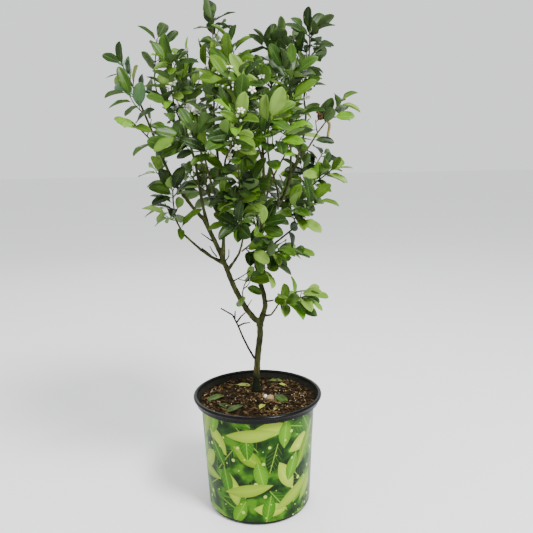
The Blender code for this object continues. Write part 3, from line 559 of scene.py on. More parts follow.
# %% [markdown]
# Bark chips, crumbs and white grains lie loose on the soil, hundreds of each. That is work
# for Geometry Nodes: points are scattered over the soil's top faces, a chip from a small
# set is put on each with a chance turn and size, and the instances are made real. One tree
# serves for all sorts, with the sort's numbers as its inputs.

# %% Scatter tree
CHIP_SORTS = 5


def link_all(tree, pairs):
    """Links outputs to inputs, given as (node, name, node, name)."""
    for start, output, end, socket in pairs:
        tree.links.new(start.outputs[output], end.inputs[socket])


def scatter_tree():
    """Points over a surface, each with a chance shape, turn and size."""
    tree = bpy.data.node_groups.new("scatter_on_top", "GeometryNodeTree")
    face = tree.interface
    face.new_socket("Surface", in_out="INPUT", socket_type="NodeSocketGeometry")
    face.new_socket("Per square metre", in_out="INPUT", socket_type="NodeSocketFloat")
    face.new_socket("Smallest", in_out="INPUT", socket_type="NodeSocketFloat")
    face.new_socket("Largest", in_out="INPUT", socket_type="NodeSocketFloat")
    face.new_socket("Tilt", in_out="INPUT", socket_type="NodeSocketFloat")
    face.new_socket("Seed", in_out="INPUT", socket_type="NodeSocketInt")
    face.new_socket("Shapes", in_out="INPUT", socket_type="NodeSocketCollection")
    face.new_socket("Finish", in_out="INPUT", socket_type="NodeSocketMaterial")
    face.new_socket("Pieces", in_out="OUTPUT", socket_type="NodeSocketGeometry")
    start = tree.nodes.new("NodeGroupInput")
    end = tree.nodes.new("NodeGroupOutput")
    spread = tree.nodes.new("GeometryNodeDistributePointsOnFaces")
    shapes = tree.nodes.new("GeometryNodeCollectionInfo")
    shapes.inputs["Separate Children"].default_value = True
    shapes.inputs["Reset Children"].default_value = True
    lay = tree.nodes.new("GeometryNodeInstanceOnPoints")
    lay.inputs["Pick Instance"].default_value = True
    size = tree.nodes.new("FunctionNodeRandomValue")
    turn = tree.nodes.new("FunctionNodeRandomValue")
    turn.data_type = "FLOAT_VECTOR"
    low, high = tree.nodes.new("ShaderNodeCombineXYZ"), tree.nodes.new("ShaderNodeCombineXYZ")
    high.inputs["Z"].default_value = math.tau
    negative = tree.nodes.new("ShaderNodeMath")
    negative.operation = "MULTIPLY"
    negative.inputs[1].default_value = -1.0
    real = tree.nodes.new("GeometryNodeRealizeInstances")
    paint = tree.nodes.new("GeometryNodeSetMaterial")
    link_all(tree, [
        (start, "Surface", spread, "Mesh"), (start, "Per square metre", spread, "Density"),
        (start, "Seed", spread, "Seed"), (spread, "Points", lay, "Points"),
        (start, "Shapes", shapes, "Collection"), (shapes, "Instances", lay, "Instance"),
        (start, "Tilt", negative, 0), (negative, 0, low, "X"), (negative, 0, low, "Y"),
        (start, "Tilt", high, "X"), (start, "Tilt", high, "Y"), (low, 0, turn, 0),
        (high, 0, turn, 1), (start, "Seed", turn, "Seed"), (start, "Seed", size, "Seed"),
        (start, "Smallest", size, 2), (start, "Largest", size, 3), (turn, 0, lay, "Rotation"),
        (size, 1, lay, "Scale"), (lay, "Instances", real, "Geometry"),
        (real, "Geometry", paint, "Geometry"), (start, "Finish", paint, "Material"),
        (paint, "Geometry", end, "Pieces")])
    return tree


SCATTER = scatter_tree()
print("scatter tree nodes:", len(SCATTER.nodes))

# %% [markdown]
# A chip is a small faceted shard, flat for bark and round for crumbs. A handful of shapes
# is enough, because each is turned and sized by chance. The soil's top faces are copied to
# a hidden surface to scatter on, away from the trunk's foot and the very edge.

# %% Chips, crumbs and grains
CHIP_REACH = 0.965
TRUNK_CLEAR = 0.013
TRUNK_FOOT = (-0.003, 0.020)
CHIP_LIFT = 0.0013
SORTS = {
    "bark_chips_dark": (9000.0, 0.0080, 0.0190, 0.38, 3, (1.0, 0.40, 0.14),
                        ((0.006, 0.004, 0.0015), (0.034, 0.021, 0.008))),
    "bark_chips_red": (6500.0, 0.0070, 0.0180, 0.38, 5, (1.0, 0.38, 0.13),
                       ((0.030, 0.017, 0.006), (0.120, 0.074, 0.030))),
    "bark_chips_tan": (2000.0, 0.0050, 0.0130, 0.38, 7, (1.0, 0.34, 0.12),
                       ((0.120, 0.080, 0.034), (0.300, 0.215, 0.110))),
    "crumbs": (20000.0, 0.0012, 0.0032, 3.0, 11, (1.0, 0.8, 0.7),
               ((0.006, 0.004, 0.003), (0.028, 0.016, 0.010))),
    "white_grains": (1500.0, 0.0010, 0.0027, 3.0, 13, (1.0, 0.9, 0.8),
                     ((0.52, 0.44, 0.30), (0.80, 0.72, 0.56))),
}


def shard(name, seed, stretch, home):
    """One faceted chip a unit long, stretched flat, in a collection."""
    rng = random.Random(seed)
    shape = bmesh.new()
    bmesh.ops.create_icosphere(shape, subdivisions=1, radius=0.5)
    for corner in shape.verts:
        corner.co *= rng.uniform(0.72, 1.15)
        corner.co = Vector(c * s for c, s in zip(corner.co, stretch))
    outwards(shape)
    mesh = bpy.data.meshes.new(name)
    shape.to_mesh(mesh)
    shape.free()
    home.objects.link(bpy.data.objects.new(name, mesh))


def chip_ground():
    """The soil's top faces, clear of the trunk and the pot's wall."""
    shape = bmesh.new()
    shape.from_mesh(SOIL.data)
    reach = soil_reach() * CHIP_REACH
    foot = Vector((*TRUNK_FOOT, 0.0))
    away = []
    for face in shape.faces:
        middle = face.calc_center_median()
        flat = Vector((middle.x, middle.y, 0.0))
        if face.normal.z < 0.3 or flat.length > reach or (flat - foot).length < TRUNK_CLEAR:
            away.append(face)
    bmesh.ops.delete(shape, geom=away, context="FACES")
    bmesh.ops.translate(shape, verts=shape.verts, vec=(0.0, 0.0, CHIP_LIFT))
    mesh = bpy.data.meshes.new("chip_ground")
    shape.to_mesh(mesh)
    shape.free()
    return mesh


def set_inputs(modifier, values):
    """Sets a node modifier's inputs by their names, through the sockets' identifiers."""
    for item in modifier.node_group.interface.items_tree:
        if item.item_type == "SOCKET" and item.in_out == "INPUT" and item.name in values:
            modifier[item.identifier] = values[item.name]


def baked(thing):
    """Turns a thing's node modifier into a plain mesh and removes it."""
    depsgraph = bpy.context.evaluated_depsgraph_get()
    mesh = bpy.data.meshes.new_from_object(thing.evaluated_get(depsgraph))
    thing.modifiers.clear()
    thing.data = mesh
    return thing


def make_chips():
    """One piece for each sort of chip."""
    ground = chip_ground()
    for name, (count, smallest, largest, tilt, seed, stretch, tones) in SORTS.items():
        home = bpy.data.collections.new(name + "_shapes")
        for k in range(CHIP_SORTS):
            shard(f"{name}_shape_{k}", seed * 10 + k, stretch, home)
        piece = add_object(name, ground.copy())
        modifier = piece.modifiers.new("Scatter", "NODES")
        modifier.node_group = SCATTER
        set_inputs(modifier, {"Per square metre": count, "Smallest": smallest, "Largest": largest,
                              "Tilt": tilt, "Seed": seed, "Shapes": home,
                              "Finish": grained(name, tones, 0.85, 300.0, 0.4, gloss=0.06)})
        dress(baked(piece), "soil")
        for shape in list(home.objects):
            bpy.data.objects.remove(shape)
        bpy.data.collections.remove(home)


make_chips()

# %% [markdown]
# The trunk and the boughs are tapering limbs along smooth routes. The solids' own routes are
# written here again, so that the bark sits where the solids are. Each entry names the limb
# that carries it, how far along, its radius at both ends and the points that it passes.

# %% Routes of the limbs and of the leafy shoots
UP = np.array((0.0, 0.0, 1.0))
# Every pair of neighbours that touch on the real plant keeps this gap
SEAT = 0.0003

TRUNK_ROUTE = ((0.001, 0.020, 0.311), (0.007, 0.015, 0.362), (0.010, 0.013, 0.382),
               (0.0085, 0.012, 0.393))
TRUNK_RADIUS = 0.0074
TRUNK_TIP_RADIUS = 0.0066
FLARE_RADIUS = 0.0098
FLARE_HEIGHT = 0.022
LIMB_STEP = 0.030
FACET_SLACK = 0.0006

Limb = namedtuple("Limb", "parent at thick thin route")
Mass = namedtuple("Mass", "limb at thick reach seed route")

# Boughs: parent, place along it, radius at each end, and the points they pass, tip last
LIMBS = {
    "left_main": Limb("trunk", 1.0, 0.0064, 0.0044,
                      ((-0.006, 0.011, 0.413), (-0.022, 0.010, 0.436), (-0.046, 0.002, 0.486),
                       (-0.067, -0.015, 0.550), (-0.098, -0.030, 0.626))),
    "right_main": Limb("left_main", 0.02, 0.0056, 0.0047,
                       ((0.015, 0.014, 0.416), (0.021, 0.017, 0.431), (0.019, 0.022, 0.459),
                        (0.010, 0.026, 0.484), (0.005, 0.030, 0.519))),
    "low_twig": Limb("right_main", 0.08, 0.0022, 0.0018,
                     ((0.029, 0.004, 0.417), (0.039, -0.004, 0.430), (0.047, -0.013, 0.445))),
    "right_upper": Limb("right_main", 1.0, 0.0047, 0.0028,
                        ((0.008, 0.040, 0.576), (0.022, 0.050, 0.646), (0.023, 0.050, 0.734),
                         (0.021, 0.045, 0.796))),
    "outer_left": Limb("left_main", 1.0, 0.0038, 0.0024,
                       ((-0.117, -0.035, 0.649), (-0.141, -0.035, 0.683), (-0.164, -0.030, 0.719),
                        (-0.205, -0.012, 0.823))),
    "inner_left": Limb("left_main", 0.95, 0.0034, 0.0024,
                       ((-0.106, -0.010, 0.673), (-0.115, 0.000, 0.737), (-0.131, 0.010, 0.800))),
    "low_left": Limb("left_main", 0.62, 0.0034, 0.0022,
                     ((-0.100, -0.035, 0.562), (-0.139, -0.055, 0.603))),
    "centre_left": Limb("left_main", 0.66, 0.0036, 0.0024,
                        ((-0.061, -0.030, 0.625), (-0.067, -0.020, 0.727), (-0.075, -0.005, 0.816))),
    "front_left": Limb("centre_left", 0.30, 0.0026, 0.0020,
                       ((-0.079, -0.070, 0.699), (-0.087, -0.110, 0.747))),
    "front_up": Limb("centre_left", 0.40, 0.0026, 0.0018,
                     ((-0.052, -0.070, 0.746), (-0.033, -0.120, 0.773))),
    "back_left": Limb("centre_left", 0.22, 0.0028, 0.0020,
                      ((-0.090, 0.040, 0.664), (-0.109, 0.100, 0.726), (-0.116, 0.130, 0.780))),
    "front_centre": Limb("left_main", 0.56, 0.0030, 0.0020,
                         ((-0.031, -0.040, 0.560), (-0.022, -0.070, 0.595))),
    "top_mid": Limb("right_upper", 0.80, 0.0022, 0.0018,
                    ((-0.003, 0.010, 0.826), (-0.017, -0.035, 0.872))),
    "behind_top": Limb("right_upper", 0.88, 0.0022, 0.0018,
                       ((0.031, 0.075, 0.828), (0.041, 0.095, 0.875))),
    "right_bough": Limb("right_upper", 0.36, 0.0034, 0.0022,
                        ((0.049, 0.020, 0.647), (0.065, -0.010, 0.680), (0.074, -0.045, 0.721),
                         (0.074, -0.070, 0.763))),
    "right_top": Limb("right_bough", 0.45, 0.0028, 0.0020,
                      ((0.091, 0.005, 0.744), (0.111, 0.020, 0.814), (0.108, 0.020, 0.863))),
    "far_right": Limb("right_bough", 0.66, 0.0024, 0.0018,
                      ((0.095, -0.040, 0.747), (0.111, -0.038, 0.768))),
    "right_arm": Limb("right_bough", 0.34, 0.0024, 0.0019,
                      ((0.086, 0.005, 0.680), (0.117, 0.000, 0.690))),
    "right_low": Limb("right_main", 0.92, 0.0028, 0.0019,
                      ((0.030, 0.005, 0.560), (0.080, -0.040, 0.609))),
    "front_right": Limb("right_bough", 0.28, 0.0026, 0.0020,
                        ((0.045, -0.070, 0.697), (0.032, -0.120, 0.736))),
    "back_centre": Limb("right_upper", 0.26, 0.0030, 0.0020,
                        ((0.004, 0.100, 0.647), (-0.011, 0.150, 0.723), (-0.014, 0.170, 0.791))),
    "back_right": Limb("right_upper", 0.46, 0.0028, 0.0020,
                       ((0.042, 0.100, 0.701), (0.074, 0.150, 0.755))),
}

# Masses: bough, place along it, leader's radius, reach of the side twigs, seed
# and the points that the leader passes, tip last
MASSES = {
    "leaves_far_left_top": Mass("outer_left", 1.0, 0.0022, 0.055, 4,
                                ((-0.237, 0.000, 0.902), (-0.254, 0.000, 0.938))),
    "leaves_outer_left_mid": Mass("outer_left", 0.74, 0.0018, 0.060, 82,
                                  ((-0.207, -0.050, 0.800), (-0.224, -0.080, 0.819))),
    "leaves_outer_left_low": Mass("outer_left", 0.36, 0.0018, 0.055, 301,
                                  ((-0.182, 0.020, 0.708), (-0.204, 0.050, 0.724))),
    "leaves_left_top": Mass("inner_left", 0.94, 0.0021, 0.055, 381,
                            ((-0.172, 0.032, 0.848), (-0.196, 0.040, 0.900),
                             (-0.187, 0.040, 0.990))),
    "leaves_left_inner": Mass("inner_left", 0.88, 0.0016, 0.055, 316,
                              ((-0.150, -0.030, 0.855), (-0.149, -0.050, 0.907),
                               (-0.138, -0.050, 0.934))),
    "leaves_left_spire": Mass("inner_left", 1.0, 0.0020, 0.050, 406,
                              ((-0.133, 0.010, 0.861), (-0.123, 0.010, 0.950))),
    "leaves_top_centre": Mass("centre_left", 1.0, 0.0022, 0.055, 420,
                              ((-0.072, 0.000, 0.912), (-0.072, 0.000, 0.969),
                               (-0.072, 0.000, 1.020))),
    "leaves_top_mid": Mass("top_mid", 1.0, 0.0018, 0.055, 248,
                           ((-0.025, -0.045, 0.917), (-0.036, -0.035, 0.968))),
    "leaves_centre_high": Mass("front_up", 0.80, 0.0018, 0.060, 424,
                               ((-0.028, -0.100, 0.821), (-0.020, -0.110, 0.862),
                                (-0.014, -0.105, 0.889))),
    "leaves_front_bright": Mass("front_up", 1.0, 0.0018, 0.060, 322,
                                ((-0.028, -0.160, 0.789), (-0.018, -0.180, 0.815))),
    "leaves_centre_spire": Mass("right_upper", 1.0, 0.0022, 0.055, 39,
                                ((0.018, 0.040, 0.867), (0.017, 0.040, 0.916))),
    "leaves_behind_top": Mass("behind_top", 1.0, 0.0018, 0.055, 84,
                              ((0.046, 0.100, 0.930), (0.043, 0.100, 0.995))),
    "leaves_right_top": Mass("right_top", 1.0, 0.0020, 0.060, 117,
                             ((0.110, 0.020, 0.893), (0.119, 0.020, 0.951),
                              (0.119, 0.020, 0.998))),
    "leaves_right_green": Mass("right_bough", 1.0, 0.0020, 0.050, 343,
                               ((0.073, -0.085, 0.820), (0.071, -0.090, 0.898))),
    "leaves_far_right_top": Mass("far_right", 1.0, 0.0018, 0.050, 189,
                                 ((0.136, -0.030, 0.805), (0.155, -0.020, 0.826),
                                  (0.181, -0.010, 0.859))),
    "leaves_right_up": Mass("right_arm", 0.70, 0.0017, 0.055, 62,
                            ((0.125, 0.035, 0.720), (0.150, 0.060, 0.757))),
    "leaves_right_mid": Mass("right_arm", 1.0, 0.0018, 0.055, 253,
                             ((0.135, -0.015, 0.704), (0.160, -0.030, 0.725))),
    "leaves_right_low": Mass("right_low", 1.0, 0.0018, 0.060, 200,
                             ((0.097, -0.060, 0.633), (0.126, -0.070, 0.666))),
    "leaves_low_right": Mass("right_low", 0.45, 0.0018, 0.070, 320,
                             ((0.045, -0.040, 0.560), (0.081, -0.070, 0.572))),
    "leaves_low_twig": Mass("low_twig", 1.0, 0.0018, 0.050, 265,
                            ((0.060, -0.021, 0.452), (0.086, -0.033, 0.462),
                             (0.114, -0.042, 0.474))),
    "leaves_front_left": Mass("front_left", 1.0, 0.0018, 0.060, 88,
                              ((-0.094, -0.130, 0.765), (-0.107, -0.145, 0.800))),
    "leaves_front_low": Mass("front_centre", 1.0, 0.0021, 0.060, 430,
                             ((-0.024, -0.100, 0.650), (-0.026, -0.140, 0.735))),
    "leaves_front_right": Mass("front_right", 1.0, 0.0019, 0.060, 305,
                               ((0.028, -0.145, 0.762), (0.029, -0.155, 0.812))),
    "leaves_low_left": Mass("low_left", 1.0, 0.0020, 0.070, 163,
                            ((-0.153, -0.065, 0.637), (-0.155, -0.070, 0.690))),
    "leaves_back_left": Mass("back_left", 1.0, 0.0019, 0.060, 173,
                             ((-0.120, 0.140, 0.824), (-0.125, 0.140, 0.875))),
    "leaves_back_centre": Mass("back_centre", 1.0, 0.0019, 0.060, 233,
                               ((-0.015, 0.180, 0.836), (-0.018, 0.180, 0.890))),
    "leaves_back_right": Mass("back_right", 1.0, 0.0019, 0.060, 279,
                              ((0.088, 0.170, 0.800), (0.095, 0.170, 0.860))),
    "leaves_back_low_left": Mass("back_left", 0.45, 0.0018, 0.055, 352,
                                 ((-0.121, 0.120, 0.690), (-0.145, 0.145, 0.721))),
    "leaves_back_low_right": Mass("back_right", 0.25, 0.0018, 0.060, 250,
                                  ((0.056, 0.120, 0.655), (0.078, 0.160, 0.680))),
    "leaves_mid_low": Mass("front_centre", 0.50, 0.0017, 0.055, 15,
                           ((0.000, -0.070, 0.590), (0.018, -0.090, 0.625))),
    "leaves_fork": Mass("left_main", 0.24, 0.0014, 0.040, 109,
                        ((-0.026, -0.008, 0.480), (-0.012, -0.014, 0.505))),
    "leaves_centre": Mass("centre_left", 0.55, 0.0019, 0.060, 267,
                          ((-0.040, -0.035, 0.755), (-0.030, -0.045, 0.800))),
    "leaves_middle": Mass("right_upper", 0.24, 0.0019, 0.060, 125,
                          ((-0.010, 0.010, 0.660), (-0.024, -0.005, 0.730))),
}

# Where flowers open, by mass
BLOSSOMS = {
    "leaves_left_inner": ((-0.145, -0.056, 0.893),),
    "leaves_left_spire": ((-0.124, 0.000, 0.850),),
    "leaves_centre_high": ((-0.036, -0.132, 0.913), (-0.026, -0.140, 0.872), (-0.007, -0.128, 0.842)),
    "leaves_front_bright": ((-0.017, -0.200, 0.830),),
    "leaves_centre_spire": ((0.021, -0.004, 0.910),),
    "leaves_right_top": ((0.115, 0.008, 0.866),),
    "leaves_back_left": ((-0.124, 0.128, 0.854),),
    "leaves_centre": ((-0.047, -0.064, 0.757),),
}

DEAD_TWIG_AT = 0.45
DEAD_TWIG_RADIUS = 0.0017
DEAD_TWIG_TIP_RADIUS = 0.0010
DEAD_TWIG_ROUTE = ((-0.008, 0.012, 0.325), (-0.016, 0.008, 0.342), (-0.026, 0.003, 0.367),
                   (-0.037, -0.001, 0.388), (-0.039, -0.004, 0.409), (-0.051, -0.008, 0.426),
                   (-0.073, -0.012, 0.440))
DEAD_SIDE_TWIGS = ((0.66, (-0.022, 0.004, 0.426)), (0.72, (-0.043, -0.012, 0.434)),
                   (0.60, (-0.013, 0.009, 0.402)))
print("limbs:", len(LIMBS) + 2, "masses:", len(MASSES))

# %% [markdown]
# A route is a line that is read by the distance along it, smoothed through its points.
# What stands already is kept as capsules and as walls. A limb starts where its first ring
# is just clear of them, which is how the solids were seated too.

# %% Paths and clearance


def unit(vector):
    """The vector at length one."""
    return vector / max(np.linalg.norm(vector), 1e-12)


class Path:
    """A line through points, read by the distance along it."""

    def __init__(self, points):
        self.points = np.array(points, dtype=float)
        steps = np.linalg.norm(np.diff(self.points, axis=0), axis=1)
        self.marks = np.concatenate(([0.0], np.cumsum(steps)))
        self.length = float(self.marks[-1])

    def at(self, distance):
        """Point and direction at a distance from the start."""
        place = min(max(distance, 0.0), self.length)
        step = min(int(np.searchsorted(self.marks, place, side="right")) - 1, len(self.marks) - 2)
        start, end = self.points[step], self.points[step + 1]
        share = (place - self.marks[step]) / (self.marks[step + 1] - self.marks[step])
        return start + (end - start) * share, unit(end - start)

    def cut(self, distance, pieces):
        """The path from a distance to its end, in equal pieces."""
        return Path([self.at(d)[0] for d in np.linspace(distance, self.length, pieces + 1)])


def smooth(points, before=None):
    """A path that runs smoothly through the points."""
    knots = [np.array(p, dtype=float) for p in points]
    first = knots[0] * 2 - knots[1] if before is None else np.array(before)
    knots = [first] + knots + [knots[-1] * 2 - knots[-2]]
    line = []
    for a, b, c, d in zip(knots, knots[1:], knots[2:], knots[3:]):
        for t in np.linspace(0, 1, 9)[:-1]:
            line.append(0.5 * (2 * b + (c - a) * t + (2 * a - 5 * b + 4 * c - d) * t ** 2
                               + (3 * b - a - 3 * c + d) * t ** 3))
    line.append(knots[-2])
    return Path(line)


class Solids:
    """Centre lines and radii of what stands already, to measure clearance from."""

    def __init__(self):
        self.starts, self.ends, self.radii, self.owners = [], [], [], []

    def add(self, owner, path, radii):
        """Adds a tapering line that belongs to an owner."""
        for i in range(len(path.points) - 1):
            self.starts.append(path.points[i])
            self.ends.append(path.points[i + 1])
            self.radii.append(radii[i])
            self.owners.append(owner)

    def freeze(self):
        """Arrays for quick measuring."""
        self.a = np.array(self.starts)
        self.ab = np.array(self.ends) - self.a
        self.aa = np.maximum((self.ab ** 2).sum(axis=1), 1e-12)
        self.r = np.array(self.radii)
        self.o = np.array(self.owners)
        return self

    def distances(self, points):
        """Distance of each point from each line's surface."""
        gap = points[:, None, :] - self.a[None]
        share = np.clip((gap * self.ab).sum(axis=2) / self.aa, 0, 1)
        away = gap - share[:, :, None] * self.ab
        return np.sqrt((away ** 2).sum(axis=2)) - self.r

    def clearance(self, points):
        """Smallest distance of any of the points from any surface."""
        return float(self.distances(points).min())

    def holds(self, points):
        """Whether any of the points lies well inside a line's tube."""
        gap = points[:, None, :] - self.a[None]
        share = (gap * self.ab).sum(axis=2) / self.aa
        away = np.linalg.norm(gap - share[:, :, None] * self.ab, axis=2)
        return bool(((share > 0) & (share < 1) & (away < self.r - FACET_SLACK)).any())

    def nearest_owner_ok(self, points, owner, margin):
        """Whether every point is nearer the owner's line than any other owner's."""
        away = self.distances(points)
        mine = self.o == owner
        return bool((away[:, mine].min(axis=1) + margin < away[:, ~mine].min(axis=1)).all())


def ring_points(path, distance, radius):
    """Eight points of the circle round a path at a distance."""
    centre, along = path.at(distance)
    side = unit(np.cross(along, UP + (0.3, 0.1, 0.0)))
    other = np.cross(along, side)
    turns = np.arange(8) * math.tau / 8
    return centre + radius * (np.cos(turns)[:, None] * side + np.sin(turns)[:, None] * other)


def taper(path, thick, thin):
    """Radii along a path that tapers evenly."""
    return np.interp(path.marks, (0, path.length), (thick, thin))


def limb_walls(plan, swell=0.0):
    """The surfaces of all limbs as one tree, swollen by a margin, to measure from."""
    corners, faces = [], []
    for path, radii in plan.values():
        first = len(corners)
        for mark, radius in zip(path.marks, radii):
            corners += [tuple(p) for p in ring_points(path, mark, radius + swell)]
        last = len(corners) - 8
        for low in range(first, last, 8):
            faces += [(low + i, low + (i + 1) % 8, low + 8 + (i + 1) % 8, low + 8 + i)
                      for i in range(8)]
        faces += [tuple(range(first, first + 8)), tuple(range(last, last + 8))]
    return BVHTree.FromPolygons(corners, faces)


def is_clear(path, radius, walls):
    """Whether a path's first ring is a seat's gap away from every wall."""
    ring = ring_points(path, 0.0, radius)
    rim = np.vstack((ring, (ring + np.roll(ring, -1, axis=0)) / 2))
    nearest = min(walls.find_nearest(Vector(p))[3] for p in rim)
    disc = BVHTree.FromPolygons([tuple(p) for p in ring], [tuple(range(8))])
    return nearest >= SEAT and not disc.overlap(walls)


def seated(parent, at, route, radius, solids, walls):
    """A path from its parent through a route, its first ring one seat's gap clear."""
    spot, along = parent.at(parent.length * at)
    if at == 1.0:
        whole = smooth((tuple(spot),) + route, before=spot - along * 0.03)
        collar = max(1.5 * radius, 0.003)
        rest = whole.cut(2 * collar, max(3, round(whole.length / LIMB_STEP)))
        return Path([spot + along * SEAT, spot + along * collar] + list(rest.points))
    whole = smooth((tuple(spot),) + route)
    start = radius
    while True:
        path = whole.cut(start, max(3, round(whole.length / LIMB_STEP)))
        sunk = solids.holds(ring_points(path, 0.0, radius))
        if not sunk and is_clear(path, radius, walls):
            return path
        start += 0.0001


def plan_trunk():
    """The trunk's centre line and radii, flared at the soil."""
    foot = np.array((*TRUNK_FOOT, SOIL_MOUND_HEIGHT + SEAT))
    whole = smooth((tuple(foot),) + TRUNK_ROUTE, before=foot - UP * 0.05)
    flare = [foot, foot + UP * FLARE_HEIGHT * 0.3, whole.at(FLARE_HEIGHT)[0]]
    path = Path(flare + list(whole.cut(2 * FLARE_HEIGHT, 5).points))
    radii = taper(path, TRUNK_RADIUS, TRUNK_TIP_RADIUS)
    radii[:2] = (FLARE_RADIUS, (FLARE_RADIUS + TRUNK_RADIUS) / 2)
    return path, radii


def plan_limbs():
    """Centre line and radii of the trunk and every bough, seated clear of each other."""
    solids = Solids()
    plan = {"trunk": plan_trunk()}
    solids.add("trunk", *plan["trunk"])
    dead = Limb("trunk", DEAD_TWIG_AT, DEAD_TWIG_RADIUS, DEAD_TWIG_TIP_RADIUS, DEAD_TWIG_ROUTE)
    for name, limb in [*LIMBS.items(), ("dead_twig", dead)]:
        path = seated(plan[limb.parent][0], limb.at, limb.route, limb.thick,
                      solids.freeze(), limb_walls(plan))
        plan[name] = (path, taper(path, limb.thick, limb.thin))
        solids.add(name, *plan[name])
    return plan, solids.freeze()


def plan_leaders(plan, limbs):
    """Each mass's leader, seated on its bough, and the lines that part their spaces."""
    leaders = {}
    lines = Solids()
    walls = limb_walls(plan)
    for name, mass in MASSES.items():
        path = seated(plan[mass.limb][0], mass.at, mass.route, mass.thick, limbs, walls)
        leaders[name] = path
        lines.add(name, path, np.zeros(len(path.points)))
    return leaders, lines.freeze()


PLAN, LIMB_SOLIDS = plan_limbs()
LEADERS, LINES = plan_leaders(PLAN, LIMB_SOLIDS)
print("leaders:", len(LEADERS))

# %% [markdown]
# On the real bush the bark runs over from a bough into the one that carries it. To get that,
# rough tubes are laid along the routes, each bough's from inside its parent, and a voxel
# remesh melts them into one skin. Then the skin is pushed in and out along its normals by
# noise that is drawn out along Z, which gives bark its long shallow ridges, and smoothed a
# little. A collar swells each bough's foot, and rings of old leaf scars mark its length.

# %% Bark skin
BARK_SIDES = 12
BARK_VOXEL = 0.00105
COLLAR_SWELL = 0.30
COLLAR_LENGTH = 0.010
SCAR_GAP = 0.021
SCAR_SWELL = 0.09
RIDGE_SIZE = (0.0045, 0.0045, 0.016)
RIDGE_HEIGHT = 0.00034
BARK_TONES = ((0.008, 0.011, 0.003), (0.024, 0.028, 0.007), (0.046, 0.051, 0.014),
              (0.088, 0.086, 0.030))
FOOT_TONE = (0.006, 0.010, 0.003)
FOOT_TOP = 0.288
PATCH_TONE = (0.125, 0.098, 0.030)


def frames_along(points):
    """Two directions square to a line at each of its points, turning as little as can be."""
    tangents = np.gradient(points, axis=0)
    tangents /= np.linalg.norm(tangents, axis=1)[:, None]
    side = unit(np.cross(tangents[0], UP + (0.3, 0.1, 0.0)))
    sides = []
    for tangent in tangents:
        side = unit(side - tangent * side.dot(tangent))
        sides.append(side)
    sides = np.array(sides)
    return sides, np.cross(tangents, sides)


def tube(points, radii, count):
    """Corners and faces of a closed tube along points."""
    points = np.asarray(points)
    sides, others = frames_along(points)
    turns = np.arange(count) * math.tau / count
    ring = np.cos(turns)[:, None, None] * sides + np.sin(turns)[:, None, None] * others
    corners = points + ring * np.asarray(radii)[None, :, None]
    corners = corners.transpose(1, 0, 2).reshape(-1, 3)
    faces = []
    for k in range(0, (len(points) - 1) * count, count):
        for s in range(count):
            t = (s + 1) % count
            faces.append((k + s, k + t, k + count + t, k + count + s))
    faces.append(tuple(reversed(range(count))))
    faces.append(tuple(range((len(points) - 1) * count, len(points) * count)))
    return corners, faces


def mesh_of(name, shapes, material):
    """One mesh object of many shapes, each a pair of corners and faces."""
    faces, first = [], 0
    for corners, own in shapes:
        faces += [tuple(i + first for i in face) for face in own]
        first += len(corners)
    mesh = bpy.data.meshes.new(name)
    mesh.from_pydata(np.vstack([corners for corners, _ in shapes]).tolist(), [], faces)
    mesh.shade_smooth()
    mesh.materials.append(material)
    return add_object(name, mesh)


def limb_tube(name, limb):
    """A limb's tube, from inside its parent, with a collar at its foot and leaf scars."""
    path, radii = PLAN[name]
    marks = np.arange(0.0, path.length, 0.003)
    points = [path.at(mark)[0] for mark in marks] + [path.points[-1]]
    marks = np.append(marks, path.length)
    wide = np.interp(marks, path.marks, radii)
    if limb:
        wide *= 1 + COLLAR_SWELL * np.exp(-((marks / COLLAR_LENGTH) ** 2))
        parent = PLAN[limb.parent][0]
        points.insert(0, parent.at(parent.length * limb.at)[0])
        wide = np.insert(wide, 0, wide[0])
        marks = np.insert(marks, 0, -0.004)
    scars = (marks / SCAR_GAP) % 1.0
    wide *= 1 + SCAR_SWELL * np.exp(-(((scars - 0.5) / 0.12) ** 2))
    return tube(points, wide, BARK_SIDES)


def roughen(mesh):
    """Pushes the skin in and out along its normals by drawn-out noise."""
    spots = np.array([corner.co for corner in mesh.vertices])
    normals = np.array([corner.normal for corner in mesh.vertices])
    push = [noise.fractal(Vector(spot), 0.9, 2.1, 4) for spot in spots / RIDGE_SIZE]
    spots += normals * np.array(push)[:, None] * RIDGE_HEIGHT
    mesh.vertices.foreach_set("co", spots.ravel())


def bark_finish():
    """Olive bark, dark with damp at the foot, with worn tan patches above it."""
    material = grained("bark", BARK_TONES, 0.80, 120.0, 0.45, stretch=(1.0, 1.0, 0.25), depth=0.0012)
    skin = material.node_tree.nodes["Principled BSDF"].inputs["Base Color"].links[0].from_socket
    place = node(material, "TexCoord").outputs["Object"]
    height = node(material, "SeparateXYZ", {0: place}).outputs[2]
    broad = node(material, "Mapping", {"Vector": place, "Scale": (60.0, 60.0, 14.0)})
    cloud = node(material, "TexNoise", {"Vector": broad.outputs["Vector"], "Scale": 1.0,
                                        "Detail": 3.0}).outputs["Fac"]
    low = node(material, "MapRange", {"Value": height, "From Min": FOOT_TOP + 0.05,
                                      "From Max": FOOT_TOP, "To Min": 0.0, "To Max": 1.0}).outputs[0]
    worn = node(material, "MapRange", {"Value": cloud, "From Min": 0.52, "From Max": 0.64}).outputs[0]
    skin = blended(material, math_node(material, "MULTIPLY", worn, low), skin, PATCH_TONE)
    damp = math_node(material, "MULTIPLY_ADD", cloud, 0.075)
    damp.node.inputs[2].default_value = SOIL_MOUND_HEIGHT
    foot = node(material, "MapRange", {"Value": math_node(material, "SUBTRACT", height, damp),
                                       "From Min": 0.010, "From Max": -0.010}).outputs[0]
    wire(material, "Base Color", blended(material, foot, skin, FOOT_TONE))
    return material


